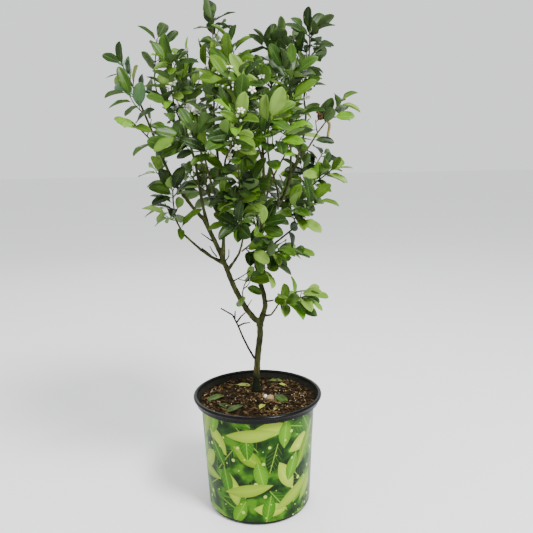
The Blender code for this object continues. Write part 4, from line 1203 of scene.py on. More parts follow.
def make_bark():
    """One skin for the trunk and every bough."""
    finish = bark_finish()
    shapes = [limb_tube("trunk", None)]
    shapes += [limb_tube(name, limb) for name, limb in LIMBS.items()]
    bark = mesh_of("bark", shapes, finish)
    remesh = bark.modifiers.new("Melt", "REMESH")
    remesh.mode = "VOXEL"
    remesh.voxel_size = BARK_VOXEL
    remesh.use_smooth_shade = True
    even = bark.modifiers.new("Even", "SMOOTH")
    even.iterations = 2
    even.factor = 0.4
    baked(bark)
    bark.data.materials.clear()
    bark.data.materials.append(finish)
    roughen(bark.data)
    bark.data.update()
    dress(bark, "bark", "trunk", *LIMBS)


make_bark()

# %% [markdown]
# A dead twig stands out from the trunk's left side, bare and dark, with a few side twigs
# that kink at their old nodes. It is thin, so tubes are enough for it.

# %% Dead twig
DEAD_TONES = ((0.003, 0.004, 0.002), (0.010, 0.011, 0.006), (0.030, 0.031, 0.018))
DEAD_SWELL = 1.4


def make_dead_twig():
    """The bare twig low on the trunk, with its side twigs."""
    path, radii = PLAN["dead_twig"]
    marks = np.linspace(0, path.length, 40)
    knots = 1 + 0.16 * np.exp(-((((marks / 0.013) % 1.0) - 0.5) / 0.16) ** 2)
    wide = np.interp(marks, path.marks, radii) * knots * DEAD_SWELL
    shapes = [tube([path.at(m)[0] for m in marks], wide, 9)]
    for place, tip in DEAD_SIDE_TWIGS:
        foot = path.at(path.length * place)[0]
        bend = (foot + np.array(tip)) / 2 + np.array((0.0, 0.0, 0.0022))
        shapes.append(tube(np.array((foot, bend, tip)), np.array((2.0, 1.7, 1.2)) * radii[-1], 6))
    finish = grained("dead_wood", DEAD_TONES, 0.9, 260.0, 0.5, stretch=(1.0, 1.0, 0.4))
    dress(mesh_of("bare_twig", shapes, finish), "dead_wood", "dead_twig")


make_dead_twig()

# %% [markdown]
# Leaves grow by the rule that made the solids: side twigs at a leader's nodes, leaves at
# theirs, each turned on from the last by the golden angle, and none outside its mass's own
# space or across another leaf. A seed for each mass makes the same bush every time.

# %% Growth rule
DIVERGENCE = math.radians(137.5)
NODE_GAP = 0.019
LEADER_BARE = 0.14
TWIG_ANGLE = math.radians(52)
TWIG_LIFT = 0.55
TWIG_BARE = 0.30
TWIG_NODE_GAP = 0.018
TWIG_RADIUS = 0.0013
TWIG_TIP_RADIUS = 0.0008
LEADER_TIP_RADIUS = 0.0011
LEAF_ANGLE = math.radians(56)
LEAF_LENGTH = 0.051
LEAF_WIDTH = 0.55
LEAF_THICKNESS = 0.0009
LEAF_FOLD = 0.11
LEAF_CURL = 0.17
LEAF_SUNK = 0.0007
LEAF_HANG = 0.16
LIGHT_SIDE = np.array((0.0, -1.0, 0.0))
LEAF_TRIES = 6
HEART_GAP = 0.0185
SPACE_MARGIN = 0.0012
LIMB_MARGIN = 0.0014
BLOSSOM_RADIUS = 0.0075
BLOSSOM_DEPTH = 0.0050
BLOSSOM_NEAR = 0.010
BLOSSOM_FAR = 0.030
BLOSSOM_MARKS = (0.15, 0.35, 0.55, 0.75, 0.95)
FACING = 0.42
FINE_FACING = 0.10
FINE_SCALE = 0.92
FINE_REACH = 0.008
FINE_GAP = 0.011
FINE_HEART_GAP = 0.013
FINE_TWIG_SHARE = 0.35
FINE_TWIG_LENGTH = 0.036
SIGHT_DEPTH = 0.15
SIGHT_RADIUS = 0.013
LARGE_LEAVED = {"leaves_low_twig": 1.35}
LATE_BLOSSOMS = {"leaves_centre_high": ((0.003, -0.144, 0.868),),
                 "leaves_front_bright": ((-0.025, -0.212, 0.764),)}
FINE_SEEDS = {
    "leaves_far_left_top": 0, "leaves_left_inner": 7, "leaves_centre_high": 66, "leaves_right_top": 48,
    "leaves_right_mid": 21, "leaves_front_left": 63, "leaves_back_left": 20,
    "leaves_back_low_right": 75, "leaves_middle": 26, "leaves_outer_left_mid": 0,
    "leaves_left_spire": 27, "leaves_front_bright": 72, "leaves_right_green": 45,
    "leaves_right_low": 1, "leaves_front_low": 41, "leaves_back_centre": 52, "leaves_mid_low": 57,
    "leaves_outer_left_low": 0, "leaves_top_centre": 5, "leaves_centre_spire": 35,
    "leaves_far_right_top": 0, "leaves_low_right": 76, "leaves_front_right": 42,
    "leaves_back_right": 37, "leaves_fork": 0, "leaves_left_top": 0, "leaves_top_mid": 1,
    "leaves_behind_top": 49, "leaves_right_up": 47, "leaves_low_twig": 32, "leaves_low_left": 77,
    "leaves_back_low_left": 8, "leaves_centre": 76,
}
Leaf = namedtuple("Leaf", "root along across normal length twig")
Twig = namedtuple("Twig", "path thick thin")
Blossom = namedtuple("Blossom", "stalk along")
Growth = namedtuple("Growth", "twigs leaves blossoms")


def leaf_points(leaf):
    """Root, left, tip, right and heart of a leaf, on its middle surface."""
    half = leaf.across * leaf.length * LEAF_WIDTH / 2
    wide = leaf.root + leaf.along * leaf.length * 0.55
    lift = leaf.normal * leaf.length * LEAF_FOLD
    tip = leaf.root + leaf.along * leaf.length - leaf.normal * leaf.length * LEAF_CURL
    return np.array((leaf.root, wide + half + lift, tip, wide - half + lift, wide))


def leaf_samples(leaf):
    """Points that stand for a leaf's blade when its clearance is measured."""
    root, left, tip, right, heart = leaf_points(leaf)
    return np.array((left, right, tip, heart, (left + tip) / 2, (right + tip) / 2,
                     root * 0.45 + left * 0.55, root * 0.45 + right * 0.55,
                     (heart + tip) / 2, root * 0.6 + heart * 0.4))


def blade_corners(leaf):
    """The blade past its stalk, as the corners of a left and a right triangle."""
    root, left, tip, right, heart = leaf_points(leaf)
    neck = root * 0.85 + heart * 0.15
    return [tuple(p) for p in (neck, left, tip, right)]


def ribbon_corners(start, end):
    """A twig's stretch as the corners of a thin ribbon."""
    side = unit(np.cross(end - start, UP + (0.2, 0.1, 0.0))) * TWIG_RADIUS
    return [tuple(p) for p in (start - side, end - side, end + side, start + side)]


class Grower:
    """Grows one mass by a seeded rule, and keeps it inside its own space."""

    def __init__(self, name, mass, leader, lines, limbs, walls, seed=None):
        self.name = name
        self.mass = mass
        self.leader = leader
        self.lines = lines
        self.limbs = limbs
        self.walls = walls
        self.rng = random.Random(mass.seed if seed is None else seed)
        self.twigs = [Twig(leader, mass.thick, LEADER_TIP_RADIUS)]
        self.leaves = []
        self.blossoms = []
        self.hearts = np.zeros((0, 3))
        self.heart_gap = HEART_GAP
        self.facing = FACING
        self.scale = 1.0
        self.low, self.high = -math.inf, math.inf
        self.sights = ()
        self.sheets = []
        self.add_ribbons(leader)

    def fits(self, points):
        """Whether points lie in reach, in this mass's space and clear of limbs and flowers."""
        return (np.all(points > self.low) and np.all(points < self.high)
                and not self.hides_flower(points)
                and self.lines.nearest_owner_ok(points, self.name, SPACE_MARGIN)
                and self.limbs.clearance(points) > LIMB_MARGIN)

    def radial(self, along, turn):
        """The direction square to a twig at a turn round it."""
        side = unit(np.cross(along, (0.31, 0.95, 0.05)))
        return side * math.cos(turn) + np.cross(along, side) * math.sin(turn)

    def add_ribbons(self, path):
        """Notes where a twig runs, so that no leaf is put across it."""
        self.sheets += [ribbon_corners(a, b) for a, b in zip(path.points, path.points[1:])]

    def crosses(self, blade):
        """Whether a blade of four corners would cut through what is there already."""
        corners, faces = [], []
        for sheet in self.sheets:
            n = len(corners)
            corners += sheet
            faces += [(n, n + 1, n + 2), (n, n + 2, n + 3)]
        grown = BVHTree.FromPolygons(corners, faces)
        new = BVHTree.FromPolygons(blade, [(0, 1, 2), (0, 2, 3)])
        return bool(new.overlap(grown) or new.overlap(self.walls))

    def hits_limb(self, path):
        """Whether a twig would run through a limb."""
        start = path.at(path.length * 0.15)[0]
        corners = ribbon_corners(start, path.points[1]) + ribbon_corners(*path.points[1:])
        ribbon = BVHTree.FromPolygons(corners, [(0, 1, 2, 3), (4, 5, 6, 7)])
        return bool(ribbon.overlap(self.walls))

    def leaf(self, twig, spot, along, turn, spread):
        """One leaf at a node, turned on until it has room, or none."""
        for attempt in range(LEAF_TRIES):
            size = LEAF_LENGTH * self.scale * self.rng.uniform(0.74, 1.16)
            droop = self.rng.uniform(-0.10, 0.55)
            sway = np.array([self.rng.uniform(-1, 1) for _ in range(3)])
            out = self.radial(along, turn + attempt * 1.1)
            way = along * math.cos(spread) + out * math.sin(spread) - UP * droop
            way = unit(way + UP * max(0.0, -LEAF_HANG - way[2]))
            outward = unit(np.array((spot[0], spot[1], 0.0)))
            face = along * 0.20 + UP * 0.55 + outward * 0.20 + LIGHT_SIDE * self.facing + sway * 0.45
            normal = unit(face - way * face.dot(way))
            leaf = Leaf(spot - way * LEAF_SUNK, way, np.cross(way, normal), normal, size, twig)
            heart = leaf_points(leaf)[4]
            if len(self.hearts) and np.linalg.norm(self.hearts - heart, axis=1).min() < self.heart_gap:
                continue
            if self.fits(leaf_samples(leaf)) and not self.crosses(blade_corners(leaf)):
                self.leaves.append(leaf)
                self.hearts = np.vstack((self.hearts, heart))
                self.sheets.append(blade_corners(leaf))
                return

    def leafy_twig(self, index):
        """Leaves at a twig's nodes, and a few round its tip."""
        path = self.twigs[index].path
        bare = TWIG_BARE if index else LEADER_BARE
        turn = self.rng.uniform(0, math.tau)
        place = path.length * bare
        while index and place < path.length - 0.006:
            spot, along = path.at(place)
            self.leaf(index, spot, along, turn, LEAF_ANGLE)
            turn += DIVERGENCE
            place += TWIG_NODE_GAP * self.rng.uniform(0.85, 1.2)
        for step in range(2 if index else 3):
            spot, along = path.at(path.length - 0.0022 - 0.0042 * step)
            self.leaf(index, spot, along, turn, LEAF_ANGLE * (0.30 + 0.3 * step))
            turn += DIVERGENCE

    def side_twig(self, spot, along, turn, length):
        """One side twig, turned on until it has room, or none."""
        for attempt in range(4):
            out = self.radial(along, turn + attempt * 1.3)
            way = unit(along * math.cos(TWIG_ANGLE) + out * math.sin(TWIG_ANGLE))
            bend = spot + way * length / 2
            tip = bend + unit(way + UP * TWIG_LIFT) * length / 2
            path = Path((spot, bend, tip))
            points = np.array([path.at(length * t)[0] for t in np.linspace(0.3, 1.0, 9)])
            if self.fits(points) and not self.hits_limb(path):
                self.twigs.append(Twig(path, TWIG_RADIUS, TWIG_TIP_RADIUS))
                self.add_ribbons(path)
                return

    def blossom(self, place):
        """One flower on a stalk from the nearest twig that has room, towards a place."""
        place = np.array(place)
        spots = [twig.path.at(twig.path.length * mark)[0]
                 for twig in self.twigs for mark in BLOSSOM_MARKS]
        for spot in sorted(spots, key=lambda near: float(np.linalg.norm(near - place))):
            way = unit(place - spot)
            reach = min(max(float(np.linalg.norm(place - spot)), BLOSSOM_NEAR), BLOSSOM_FAR)
            mouth = spot + way * reach
            rim = ring_points(Path((spot, mouth)), reach, BLOSSOM_RADIUS)
            face = [tuple(p) for p in rim[::2]]
            if self.fits(np.vstack((rim, mouth))) and not self.crosses(face):
                self.blossoms.append(Blossom(Path((spot, mouth - way * BLOSSOM_DEPTH)), way))
                self.sheets.append(face)
                return

    def grow(self):
        """The whole mass: leader, side twigs, leaves and blossom."""
        turn = self.rng.uniform(0, math.tau)
        place = self.leader.length * LEADER_BARE
        node = self.rng.randrange(2)
        leaf_nodes = []
        while place < self.leader.length - 0.008:
            spot, along = self.leader.at(place)
            if node % 2:
                leaf_nodes.append((spot, along, turn))
            else:
                share = 1.0 - 0.45 * place / self.leader.length
                self.side_twig(spot, along, turn, self.mass.reach * share * self.rng.uniform(0.7, 1))
            turn += DIVERGENCE
            place += NODE_GAP * self.rng.uniform(0.8, 1.2)
            node += 1
        for spot, along, turn in leaf_nodes:
            self.leaf(0, spot, along, turn, LEAF_ANGLE)
        for index in range(len(self.twigs)):
            self.leafy_twig(index)
        bearing = {leaf.twig for leaf in self.leaves} | {0}
        self.twigs = [twig for k, twig in enumerate(self.twigs) if k in bearing]
        for place in BLOSSOMS.get(self.name, ()):
            self.blossom(place)
        return Growth(self.twigs, self.leaves, self.blossoms)

    def grow_finer(self, seed):
        """Finer twigs and single leaves at chance places on every twig."""
        self.rng = random.Random(seed)
        self.heart_gap = FINE_HEART_GAP
        self.facing = FINE_FACING
        self.scale = FINE_SCALE * LARGE_LEAVED.get(self.name, 1.0)
        self.low, self.high = np.array(CAD_BOX) + ((-FINE_REACH,), (FINE_REACH,))
        self.sights = np.array([place for places in BLOSSOMS.values() for place in places])
        for index in range(len(self.twigs)):
            path = self.twigs[index].path
            for _ in range(round(path.length / FINE_GAP)):
                spot, along = path.at(path.length * self.rng.uniform(0.12, 0.97))
                turn = self.rng.uniform(0, math.tau)
                if self.rng.random() < FINE_TWIG_SHARE:
                    self.fine_twig(spot, along, turn)
                else:
                    self.leaf(index, spot, along, turn, LEAF_ANGLE)

    def fine_twig(self, spot, along, turn):
        """One short side twig with its leaves, left out if none has room."""
        before, grown = len(self.twigs), len(self.leaves)
        self.side_twig(spot, along, turn, FINE_TWIG_LENGTH * self.rng.uniform(0.6, 1.0))
        if len(self.twigs) > before:
            self.leafy_twig(before)
            if len(self.leaves) == grown:
                self.twigs.pop()

    def hides_flower(self, points):
        """Whether points stand close before a flower, as the photo's side sees it."""
        for place in self.sights:
            view = unit(np.array(CAMERA_PLACE) - place)
            offsets = points - place
            depths = offsets @ view
            aside = np.linalg.norm(offsets - depths[:, None] * view, axis=1)
            if np.any((depths > 0) & (depths < SIGHT_DEPTH) & (aside < SIGHT_RADIUS)):
                return True
        return False


WALLS = limb_walls(PLAN, LIMB_MARGIN)


def grow_all():
    """Every mass's growth by the solids' rule, and then its finer twigs."""
    growths = {}
    for name, mass in MASSES.items():
        grower = Grower(name, mass, LEADERS[name], LINES, LIMB_SOLIDS, WALLS)
        grower.grow()
        if FINE_SEEDS.get(name, 1):
            grower.grow_finer(FINE_SEEDS.get(name, 1))
        grower.sights = ()
        for place in LATE_BLOSSOMS.get(name, ()):
            grower.blossom(place)
        growths[name] = grower
    return growths


GROWTHS = grow_all()
print("leaves:", sum(len(g.leaves) for g in GROWTHS.values()))
print("twigs:", sum(len(g.twigs) for g in GROWTHS.values()))

# %% [markdown]
# Twigs are thin enough for plain tubes, but there are hundreds, each of its own length and
# taper. Curves hold that best: one curve object has a spline for each twig with a radius at
# each point, and a short node tree sweeps a small ring along all of them.

# %% Twigs
TWIG_SIDES = 6
WOOD_TONES = ((0.018, 0.022, 0.008), (0.040, 0.043, 0.016), (0.085, 0.082, 0.034))
SHOOT_TONES = ((0.014, 0.034, 0.006), (0.032, 0.068, 0.010), (0.070, 0.120, 0.020))


def sweep_tree():
    """A ring swept along every spline of a curve, capped, as thick as the spline says."""
    tree = bpy.data.node_groups.new("sweep_ring", "GeometryNodeTree")
    face = tree.interface
    face.new_socket("Lines", in_out="INPUT", socket_type="NodeSocketGeometry")
    face.new_socket("Sides", in_out="INPUT", socket_type="NodeSocketInt")
    face.new_socket("Finish", in_out="INPUT", socket_type="NodeSocketMaterial")
    face.new_socket("Twigs", in_out="OUTPUT", socket_type="NodeSocketGeometry")
    start = tree.nodes.new("NodeGroupInput")
    end = tree.nodes.new("NodeGroupOutput")
    ring = tree.nodes.new("GeometryNodeCurvePrimitiveCircle")
    ring.inputs["Radius"].default_value = 1.0
    thick = tree.nodes.new("GeometryNodeInputRadius")
    sweep = tree.nodes.new("GeometryNodeCurveToMesh")
    sweep.inputs["Fill Caps"].default_value = True
    real = tree.nodes.new("GeometryNodeRealizeInstances")
    paint = tree.nodes.new("GeometryNodeSetMaterial")
    link_all(tree, [
        (start, "Lines", sweep, "Curve"), (start, "Sides", ring, "Resolution"),
        (ring, "Curve", sweep, "Profile Curve"), (thick, "Radius", sweep, "Scale"),
        (sweep, "Mesh", real, "Geometry"),
        (real, "Geometry", paint, "Geometry"), (start, "Finish", paint, "Material"),
        (paint, "Geometry", end, "Twigs")])
    return tree


SWEEP = sweep_tree()


def swept(name, lines, sides, finish, slot, *nodes):
    """One piece of tubes along (points, radii) lines."""
    curve = bpy.data.curves.new(name, "CURVE")
    curve.dimensions = "3D"
    for points, radii in lines:
        spline = curve.splines.new("POLY")
        spline.points.add(len(points) - 1)
        for point, place, radius in zip(spline.points, points, radii):
            point.co = (*place, 1.0)
            point.radius = radius
    piece = add_object(name, curve)
    modifier = piece.modifiers.new("Sweep", "NODES")
    modifier.node_group = SWEEP
    set_inputs(modifier, {"Sides": sides, "Finish": finish})
    depsgraph = bpy.context.evaluated_depsgraph_get()
    mesh = bpy.data.meshes.new_from_object(piece.evaluated_get(depsgraph))
    bpy.data.objects.remove(piece)
    mesh.shade_smooth()
    piece = add_object(name, mesh)
    dress(piece, slot, *nodes)
    return piece


def twig_line(twig):
    """A twig's smooth line, and its radii with a slight swelling at each node."""
    path = smooth([tuple(p) for p in twig.path.points]) if len(twig.path.points) == 3 else twig.path
    marks = np.linspace(0, path.length, max(5, int(path.length / 0.0035)))
    radii = np.interp(marks, (0, path.length), (twig.thick, twig.thin))
    swell = 1 + 0.14 * np.exp(-((((marks / NODE_GAP) % 1.0) - 0.5) / 0.15) ** 2)
    return [path.at(m)[0] for m in marks], radii * swell


def make_twigs():
    """The leaders in one piece, and all side twigs in another."""
    leaders, shoots = [], []
    for grower in GROWTHS.values():
        leaders.append(twig_line(grower.twigs[0]))
        shoots += [twig_line(twig) for twig in grower.twigs[1:]]
    wood = grained("leader_bark", WOOD_TONES, 0.7, 260.0, 0.35, stretch=(1.0, 1.0, 0.4))
    green = grained("shoot_bark", SHOOT_TONES, 0.55, 260.0, 0.25, stretch=(1.0, 1.0, 0.4))
    swept("leaders", leaders, TWIG_SIDES + 1, wood, "bark", *MASSES)
    swept("shoots", shoots, TWIG_SIDES, green, "bark")


make_twigs()

# %% [markdown]
# A citrus leaf is an oval on a short winged stalk, folded a little along its midrib, its
# tip bent down and its edge faintly wavy. Four shapes of it are modelled a unit long, as
# thin closed blades: stations along the midrib, each with five points across, above and
# below. A face attribute tells the upper face, the paler underside and the rib apart.

# %% Leaf shapes
STATIONS = (0.0, 0.05, 0.11, 0.135, 0.20, 0.30, 0.42, 0.55, 0.68, 0.80, 0.90, 0.965, 1.0)
HALF_WIDTHS = (0.045, 0.05, 0.085, 0.05, 0.36, 0.66, 0.90, 1.0, 0.99, 0.88, 0.68, 0.40, 0.08)
ACROSS = (-1.0, -0.52, -0.055, 0.055, 0.52, 1.0)
HALF_LEAF = 0.249
BLADE_THICKNESS = 0.010
LEAF_SHARE = 1.0
UPPER, UNDER, RIB = 0, 1, 2
LEAF_KINDS = ((0.30, 0.18, 0.010, 0.00, 0.96), (0.52, 0.28, 0.016, 0.05, 0.88),
              (0.18, 0.12, 0.014, -0.04, 1.02), (0.42, 0.36, 0.022, 0.09, 0.80),
              (0.62, 0.22, 0.012, -0.07, 0.92), (0.28, 0.30, 0.020, 0.03, 0.94))


def blade_shape(name, fold, curl, wave, lean, breadth, home):
    """One leaf a unit long: fold up from the midrib, curl down, waved edge, sideways lean."""
    shape = bmesh.new()
    part = shape.faces.layers.int.new("part")
    grain = shape.loops.layers.uv.new("leaf_uv")
    rows = []
    for t, w in zip(STATIONS, HALF_WIDTHS):
        row = []
        for side in (1.0, -1.0):
            for a in ACROSS:
                y = a * w * HALF_LEAF * breadth
                rise = abs(y) * fold + wave * math.sin(t * 15.0 + a * 2.0) * abs(a) * w
                groove = -0.004 if abs(a) < 0.1 and t > 0.13 else 0.0
                z = rise + groove - curl * t * t + side * BLADE_THICKNESS / 2 * (1 - 0.6 * abs(a))
                row.append((shape.verts.new((t, y + lean * t * t, z)), t, a))
        rows.append(row)
    n = len(ACROSS)
    for low, high in zip(rows, rows[1:]):
        for s in range(n - 1):
            for first, step, kind in ((s, 1, UPPER), (n + s, 1, UNDER)):
                quad = [low[first], high[first], high[first + step], low[first + step]]
                if kind == UPPER:
                    quad.reverse()
                add_quad(shape, quad, RIB if kind == UPPER and s == n // 2 - 1 else kind, part, grain)
        add_quad(shape, [low[0], high[0], high[n], low[n]], UPPER, part, grain)
        add_quad(shape, [low[n - 1], low[2 * n - 1], high[2 * n - 1], high[n - 1]], UPPER, part, grain)
    for row, turn in ((rows[0], 1), (rows[-1], -1)):
        for s in range(n - 1):
            add_quad(shape, [row[s], row[s + 1], row[n + s + 1], row[n + s]][::turn], UPPER, part, grain)
    bmesh.ops.recalc_face_normals(shape, faces=shape.faces)
    mesh = bpy.data.meshes.new(name)
    shape.to_mesh(mesh)
    shape.free()
    mesh.shade_smooth()
    home.objects.link(bpy.data.objects.new(name, mesh))


def add_quad(shape, quad, kind, part, grain):
    """A face with its part and its place on the leaf."""
    face = shape.faces.new([corner for corner, _, _ in quad])
    face[part] = kind
    for loop, (_, t, a) in zip(face.loops, quad):
        loop[grain].uv = (t, a / 2 + 0.5)


LEAF_HOME = bpy.data.collections.new("leaf_shapes")
for k, kind in enumerate(LEAF_KINDS):
    blade_shape(f"leaf_shape_{k}", *kind, LEAF_HOME)

# %% [markdown]
# The leaves are dealt out by Geometry Nodes: a cloud of points holds each leaf's root, and
# attributes its turn, its length and which shape it takes. The tree puts the shapes on the
# points, makes them real and paints the upper faces, the undersides and the ribs.

# %% Dealing tree


def deal_tree():
    """Leaf shapes on points, turned and sized by the points' attributes."""
    tree = bpy.data.node_groups.new("deal_leaves", "GeometryNodeTree")
    face = tree.interface
    face.new_socket("Roots", in_out="INPUT", socket_type="NodeSocketGeometry")
    face.new_socket("Shapes", in_out="INPUT", socket_type="NodeSocketCollection")
    face.new_socket("Upper face", in_out="INPUT", socket_type="NodeSocketMaterial")
    face.new_socket("Underside", in_out="INPUT", socket_type="NodeSocketMaterial")
    face.new_socket("Rib", in_out="INPUT", socket_type="NodeSocketMaterial")
    face.new_socket("Leaves", in_out="OUTPUT", socket_type="NodeSocketGeometry")
    start = tree.nodes.new("NodeGroupInput")
    end = tree.nodes.new("NodeGroupOutput")
    points = tree.nodes.new("GeometryNodeMeshToPoints")
    shapes = tree.nodes.new("GeometryNodeCollectionInfo")
    shapes.inputs["Separate Children"].default_value = True
    shapes.inputs["Reset Children"].default_value = True
    lay = tree.nodes.new("GeometryNodeInstanceOnPoints")
    lay.inputs["Pick Instance"].default_value = True
    named = {}
    for name, kind in (("turn", "QUATERNION"), ("size", "FLOAT"), ("kind", "INT"), ("part", "INT")):
        named[name] = tree.nodes.new("GeometryNodeInputNamedAttribute")
        named[name].data_type = kind
        named[name].inputs["Name"].default_value = name
    real = tree.nodes.new("GeometryNodeRealizeInstances")
    pairs = [(start, "Roots", points, "Mesh"), (points, "Points", lay, "Points"),
             (start, "Shapes", shapes, "Collection"), (shapes, "Instances", lay, "Instance"),
             (named["turn"], 0, lay, "Rotation"), (named["size"], 0, lay, "Scale"),
             (named["kind"], 0, lay, "Instance Index"), (lay, "Instances", real, "Geometry")]
    last = real
    for number, name in ((UPPER, "Upper face"), (UNDER, "Underside"), (RIB, "Rib")):
        same = tree.nodes.new("FunctionNodeCompare")
        same.data_type = "INT"
        same.operation = "EQUAL"
        same.inputs[3].default_value = number
        paint = tree.nodes.new("GeometryNodeSetMaterial")
        pairs += [(named["part"], 0, same, 2), (same, 0, paint, "Selection"),
                  (last, "Geometry", paint, "Geometry"), (start, name, paint, "Material")]
        last = paint
    link_all(tree, pairs + [(last, "Geometry", end, "Leaves")])
    return tree


DEAL = deal_tree()
print("dealing tree nodes:", len(DEAL.nodes))


def dealt(name, leaves, kinds, finishes, slot, *nodes):
    """One piece of leaves from their roots, directions and lengths."""
    mesh = bpy.data.meshes.new(name)
    mesh.from_pydata([tuple(leaf.root) for leaf in leaves], [], [])
    turns = []
    for leaf in leaves:
        axes = Matrix((leaf.along, -leaf.across, leaf.normal)).transposed()
        turns.extend(axes.to_quaternion())
    mesh.attributes.new("turn", "QUATERNION", "POINT").data.foreach_set("value", turns)
    lengths = [leaf.length * LEAF_SHARE for leaf in leaves]
    mesh.attributes.new("size", "FLOAT", "POINT").data.foreach_set("value", lengths)
    mesh.attributes.new("kind", "INT", "POINT").data.foreach_set("value", kinds)
    piece = add_object(name, mesh)
    modifier = piece.modifiers.new("Deal", "NODES")
    modifier.node_group = DEAL
    upper, under, rib = finishes
    set_inputs(modifier, {"Shapes": LEAF_HOME, "Upper face": upper, "Underside": under, "Rib": rib})
    baked(piece)
    piece.data.shade_smooth()
    dress(piece, slot, *nodes)
    return piece

# %% [markdown]
# A leaf's upper face is a waxy deep green with paler side veins, its underside paler and
# dull, its rib paler still. Young leaves are light and yellowish, old ones dark. So each
# tone is a set of finishes for one piece of leaves, and every mass deals its leaves out to
# a few tones by weight. The veins follow the leaf's own UV map.

# %% Leaf finishes
TONES = {
    "dark": (0.004, 0.016, 0.001), "deep": (0.011, 0.035, 0.002), "mid": (0.029, 0.075, 0.004),
    "fresh": (0.064, 0.136, 0.006), "bright": (0.100, 0.240, 0.008), "pale": (0.150, 0.260, 0.036),
    "yellow": (0.190, 0.260, 0.018), "blue": (0.080, 0.170, 0.075),
}
UNDER_MIX = (0.16, 0.25, 0.085)
LEAF_GLOSS = 0.16
RIB_MIX = (0.26, 0.38, 0.12)


def mixed(colour, other, share):
    """A colour part of the way to another."""
    return tuple(a + (b - a) * share for a, b in zip(colour, other))


def upper_finish(name, colour, gloss):
    """The waxy upper face, with side veins and a drift of tone from leaf to leaf."""
    material = plain_material(name, colour, 0.36, gloss)
    place = node(material, "UVMap", uv_map="leaf_uv").outputs["UV"]
    axes = node(material, "SeparateXYZ", {0: place})
    across = math_node(material, "ABSOLUTE", math_node(material, "SUBTRACT", axes.outputs[1], 0.5))
    slant = math_node(material, "SUBTRACT", math_node(material, "MULTIPLY", axes.outputs[0], 62.0),
                      math_node(material, "MULTIPLY", across, 26.0))
    vein = node(material, "MapRange", {"Value": math_node(material, "SINE", slant), "From Min": 0.72,
                                       "From Max": 1.0, "To Min": 0.0, "To Max": 0.11}).outputs[0]
    spot = node(material, "TexCoord").outputs["Object"]
    drift = node(material, "TexNoise", {"Vector": spot, "Scale": 34.0, "Detail": 2.0}).outputs["Fac"]
    tone = ramp(material, drift, [(0.34, mixed(colour, (0, 0, 0), 0.30)), (0.50, colour),
                                  (0.68, mixed(colour, TONES["pale"], 0.20))])
    wire(material, "Base Color", blended(material, vein, tone, mixed(colour, RIB_MIX, 0.6)))
    relief = node(material, "Bump", {"Height": vein, "Strength": 0.35, "Distance": 0.0006})
    wire(material, "Normal", relief.outputs["Normal"])
    return material


def leaf_finishes(tone, colour, gloss=LEAF_GLOSS):
    """Upper face, underside and rib of one tone."""
    under = grained(f"under_{tone}", (mixed(colour, UNDER_MIX, 0.26), mixed(colour, UNDER_MIX, 0.44)),
                    0.62, 60.0, 0.15)
    rib = grained(f"rib_{tone}", (mixed(colour, RIB_MIX, 0.10), mixed(colour, RIB_MIX, 0.24)),
                  0.45, 60.0, 0.1)
    return upper_finish(f"leaf_{tone}", colour, gloss), under, rib


FINISHES = {tone: leaf_finishes(tone, colour) for tone, colour in TONES.items()}
print("leaf tones:", len(FINISHES))

# %% [markdown]
# The sprays at the shoots' ends are younger and lighter, and the low middle and the back older
# and darker. The mixes also paint light: the lighter ones, most of them on the sunny right, are
# partly painted sunlight, and the dark ones low in the middle, at the back and in the dim masses,
# with bluish greens at the far left, are partly painted shade. Each mass has a weight for each tone.

# %% Leaves
OLD_AND_SHADED = {"dark": 6, "deep": 5, "mid": 4, "fresh": 2, "pale": 0.7}
LOW = {"dark": 4, "deep": 3, "mid": 4, "fresh": 4, "pale": 1.5}
DIM = {"dark": 8, "deep": 6, "mid": 1.5}
PLAIN = {"dark": 4, "deep": 4, "mid": 4, "fresh": 3, "pale": 1}
OLIVE = {"dark": 4, "deep": 4, "mid": 4, "fresh": 3, "bright": 1, "pale": 1.2}
LIGHT = {"dark": 1, "deep": 3, "mid": 4, "fresh": 5, "bright": 2, "pale": 3}
YOUNG_AND_SUNLIT = {"dark": 2, "deep": 3, "mid": 3, "fresh": 4, "bright": 5, "pale": 2, "yellow": 0.3}
SUNNY = {"deep": 2, "mid": 3, "fresh": 5, "bright": 5, "pale": 3}
BLUISH = {"blue": 7, "pale": 2, "dark": 1, "deep": 2, "mid": 1, "yellow": 0.5}
# Lighter mixes here are partly painted sunlight; the dark, dim and bluish ones are partly painted shade.
SPRAY_TONES = {
    "leaves_far_left_top": BLUISH, "leaves_left_top": DIM, "leaves_right_top": DIM,
    "leaves_top_centre": PLAIN, "leaves_top_mid": LIGHT, "leaves_front_bright": SUNNY,
    "leaves_left_inner": LIGHT, "leaves_right_up": OLIVE, "leaves_right_green": YOUNG_AND_SUNLIT,
    "leaves_far_right_top": YOUNG_AND_SUNLIT, "leaves_right_mid": SUNNY, "leaves_front_right": SUNNY,
    "leaves_left_spire": LIGHT, "leaves_back_left": LIGHT, "leaves_back_right": SUNNY,
    "leaves_outer_left_low": SUNNY, "leaves_outer_left_mid": LIGHT, "leaves_right_low": LIGHT,
    "leaves_low_right": LIGHT, "leaves_low_twig": SUNNY, "leaves_middle": SUNNY,
    "leaves_centre": SUNNY, "leaves_mid_low": LOW, "leaves_fork": SUNNY, "leaves_front_low": PLAIN,
    "leaves_centre_spire": LIGHT,
    "leaves_back_low_right": OLD_AND_SHADED, "leaves_back_centre": OLD_AND_SHADED,
}


def make_foliage():
    """Every mass's leaves, dealt out to one piece for each tone."""
    piles = {tone: [] for tone in TONES}
    for name, grower in GROWTHS.items():
        rng = random.Random(name)
        weights = SPRAY_TONES.get(name, PLAIN)
        for leaf in grower.leaves:
            tone = rng.choices(tuple(weights), tuple(weights.values()))[0]
            piles[tone].append(leaf)
    rng = random.Random(9)
    for tone, pile in piles.items():
        kinds = [rng.randrange(len(LEAF_KINDS)) for _ in pile]
        dealt(f"leaves_{tone}", pile, kinds, FINISHES[tone], "leaves")


make_foliage()
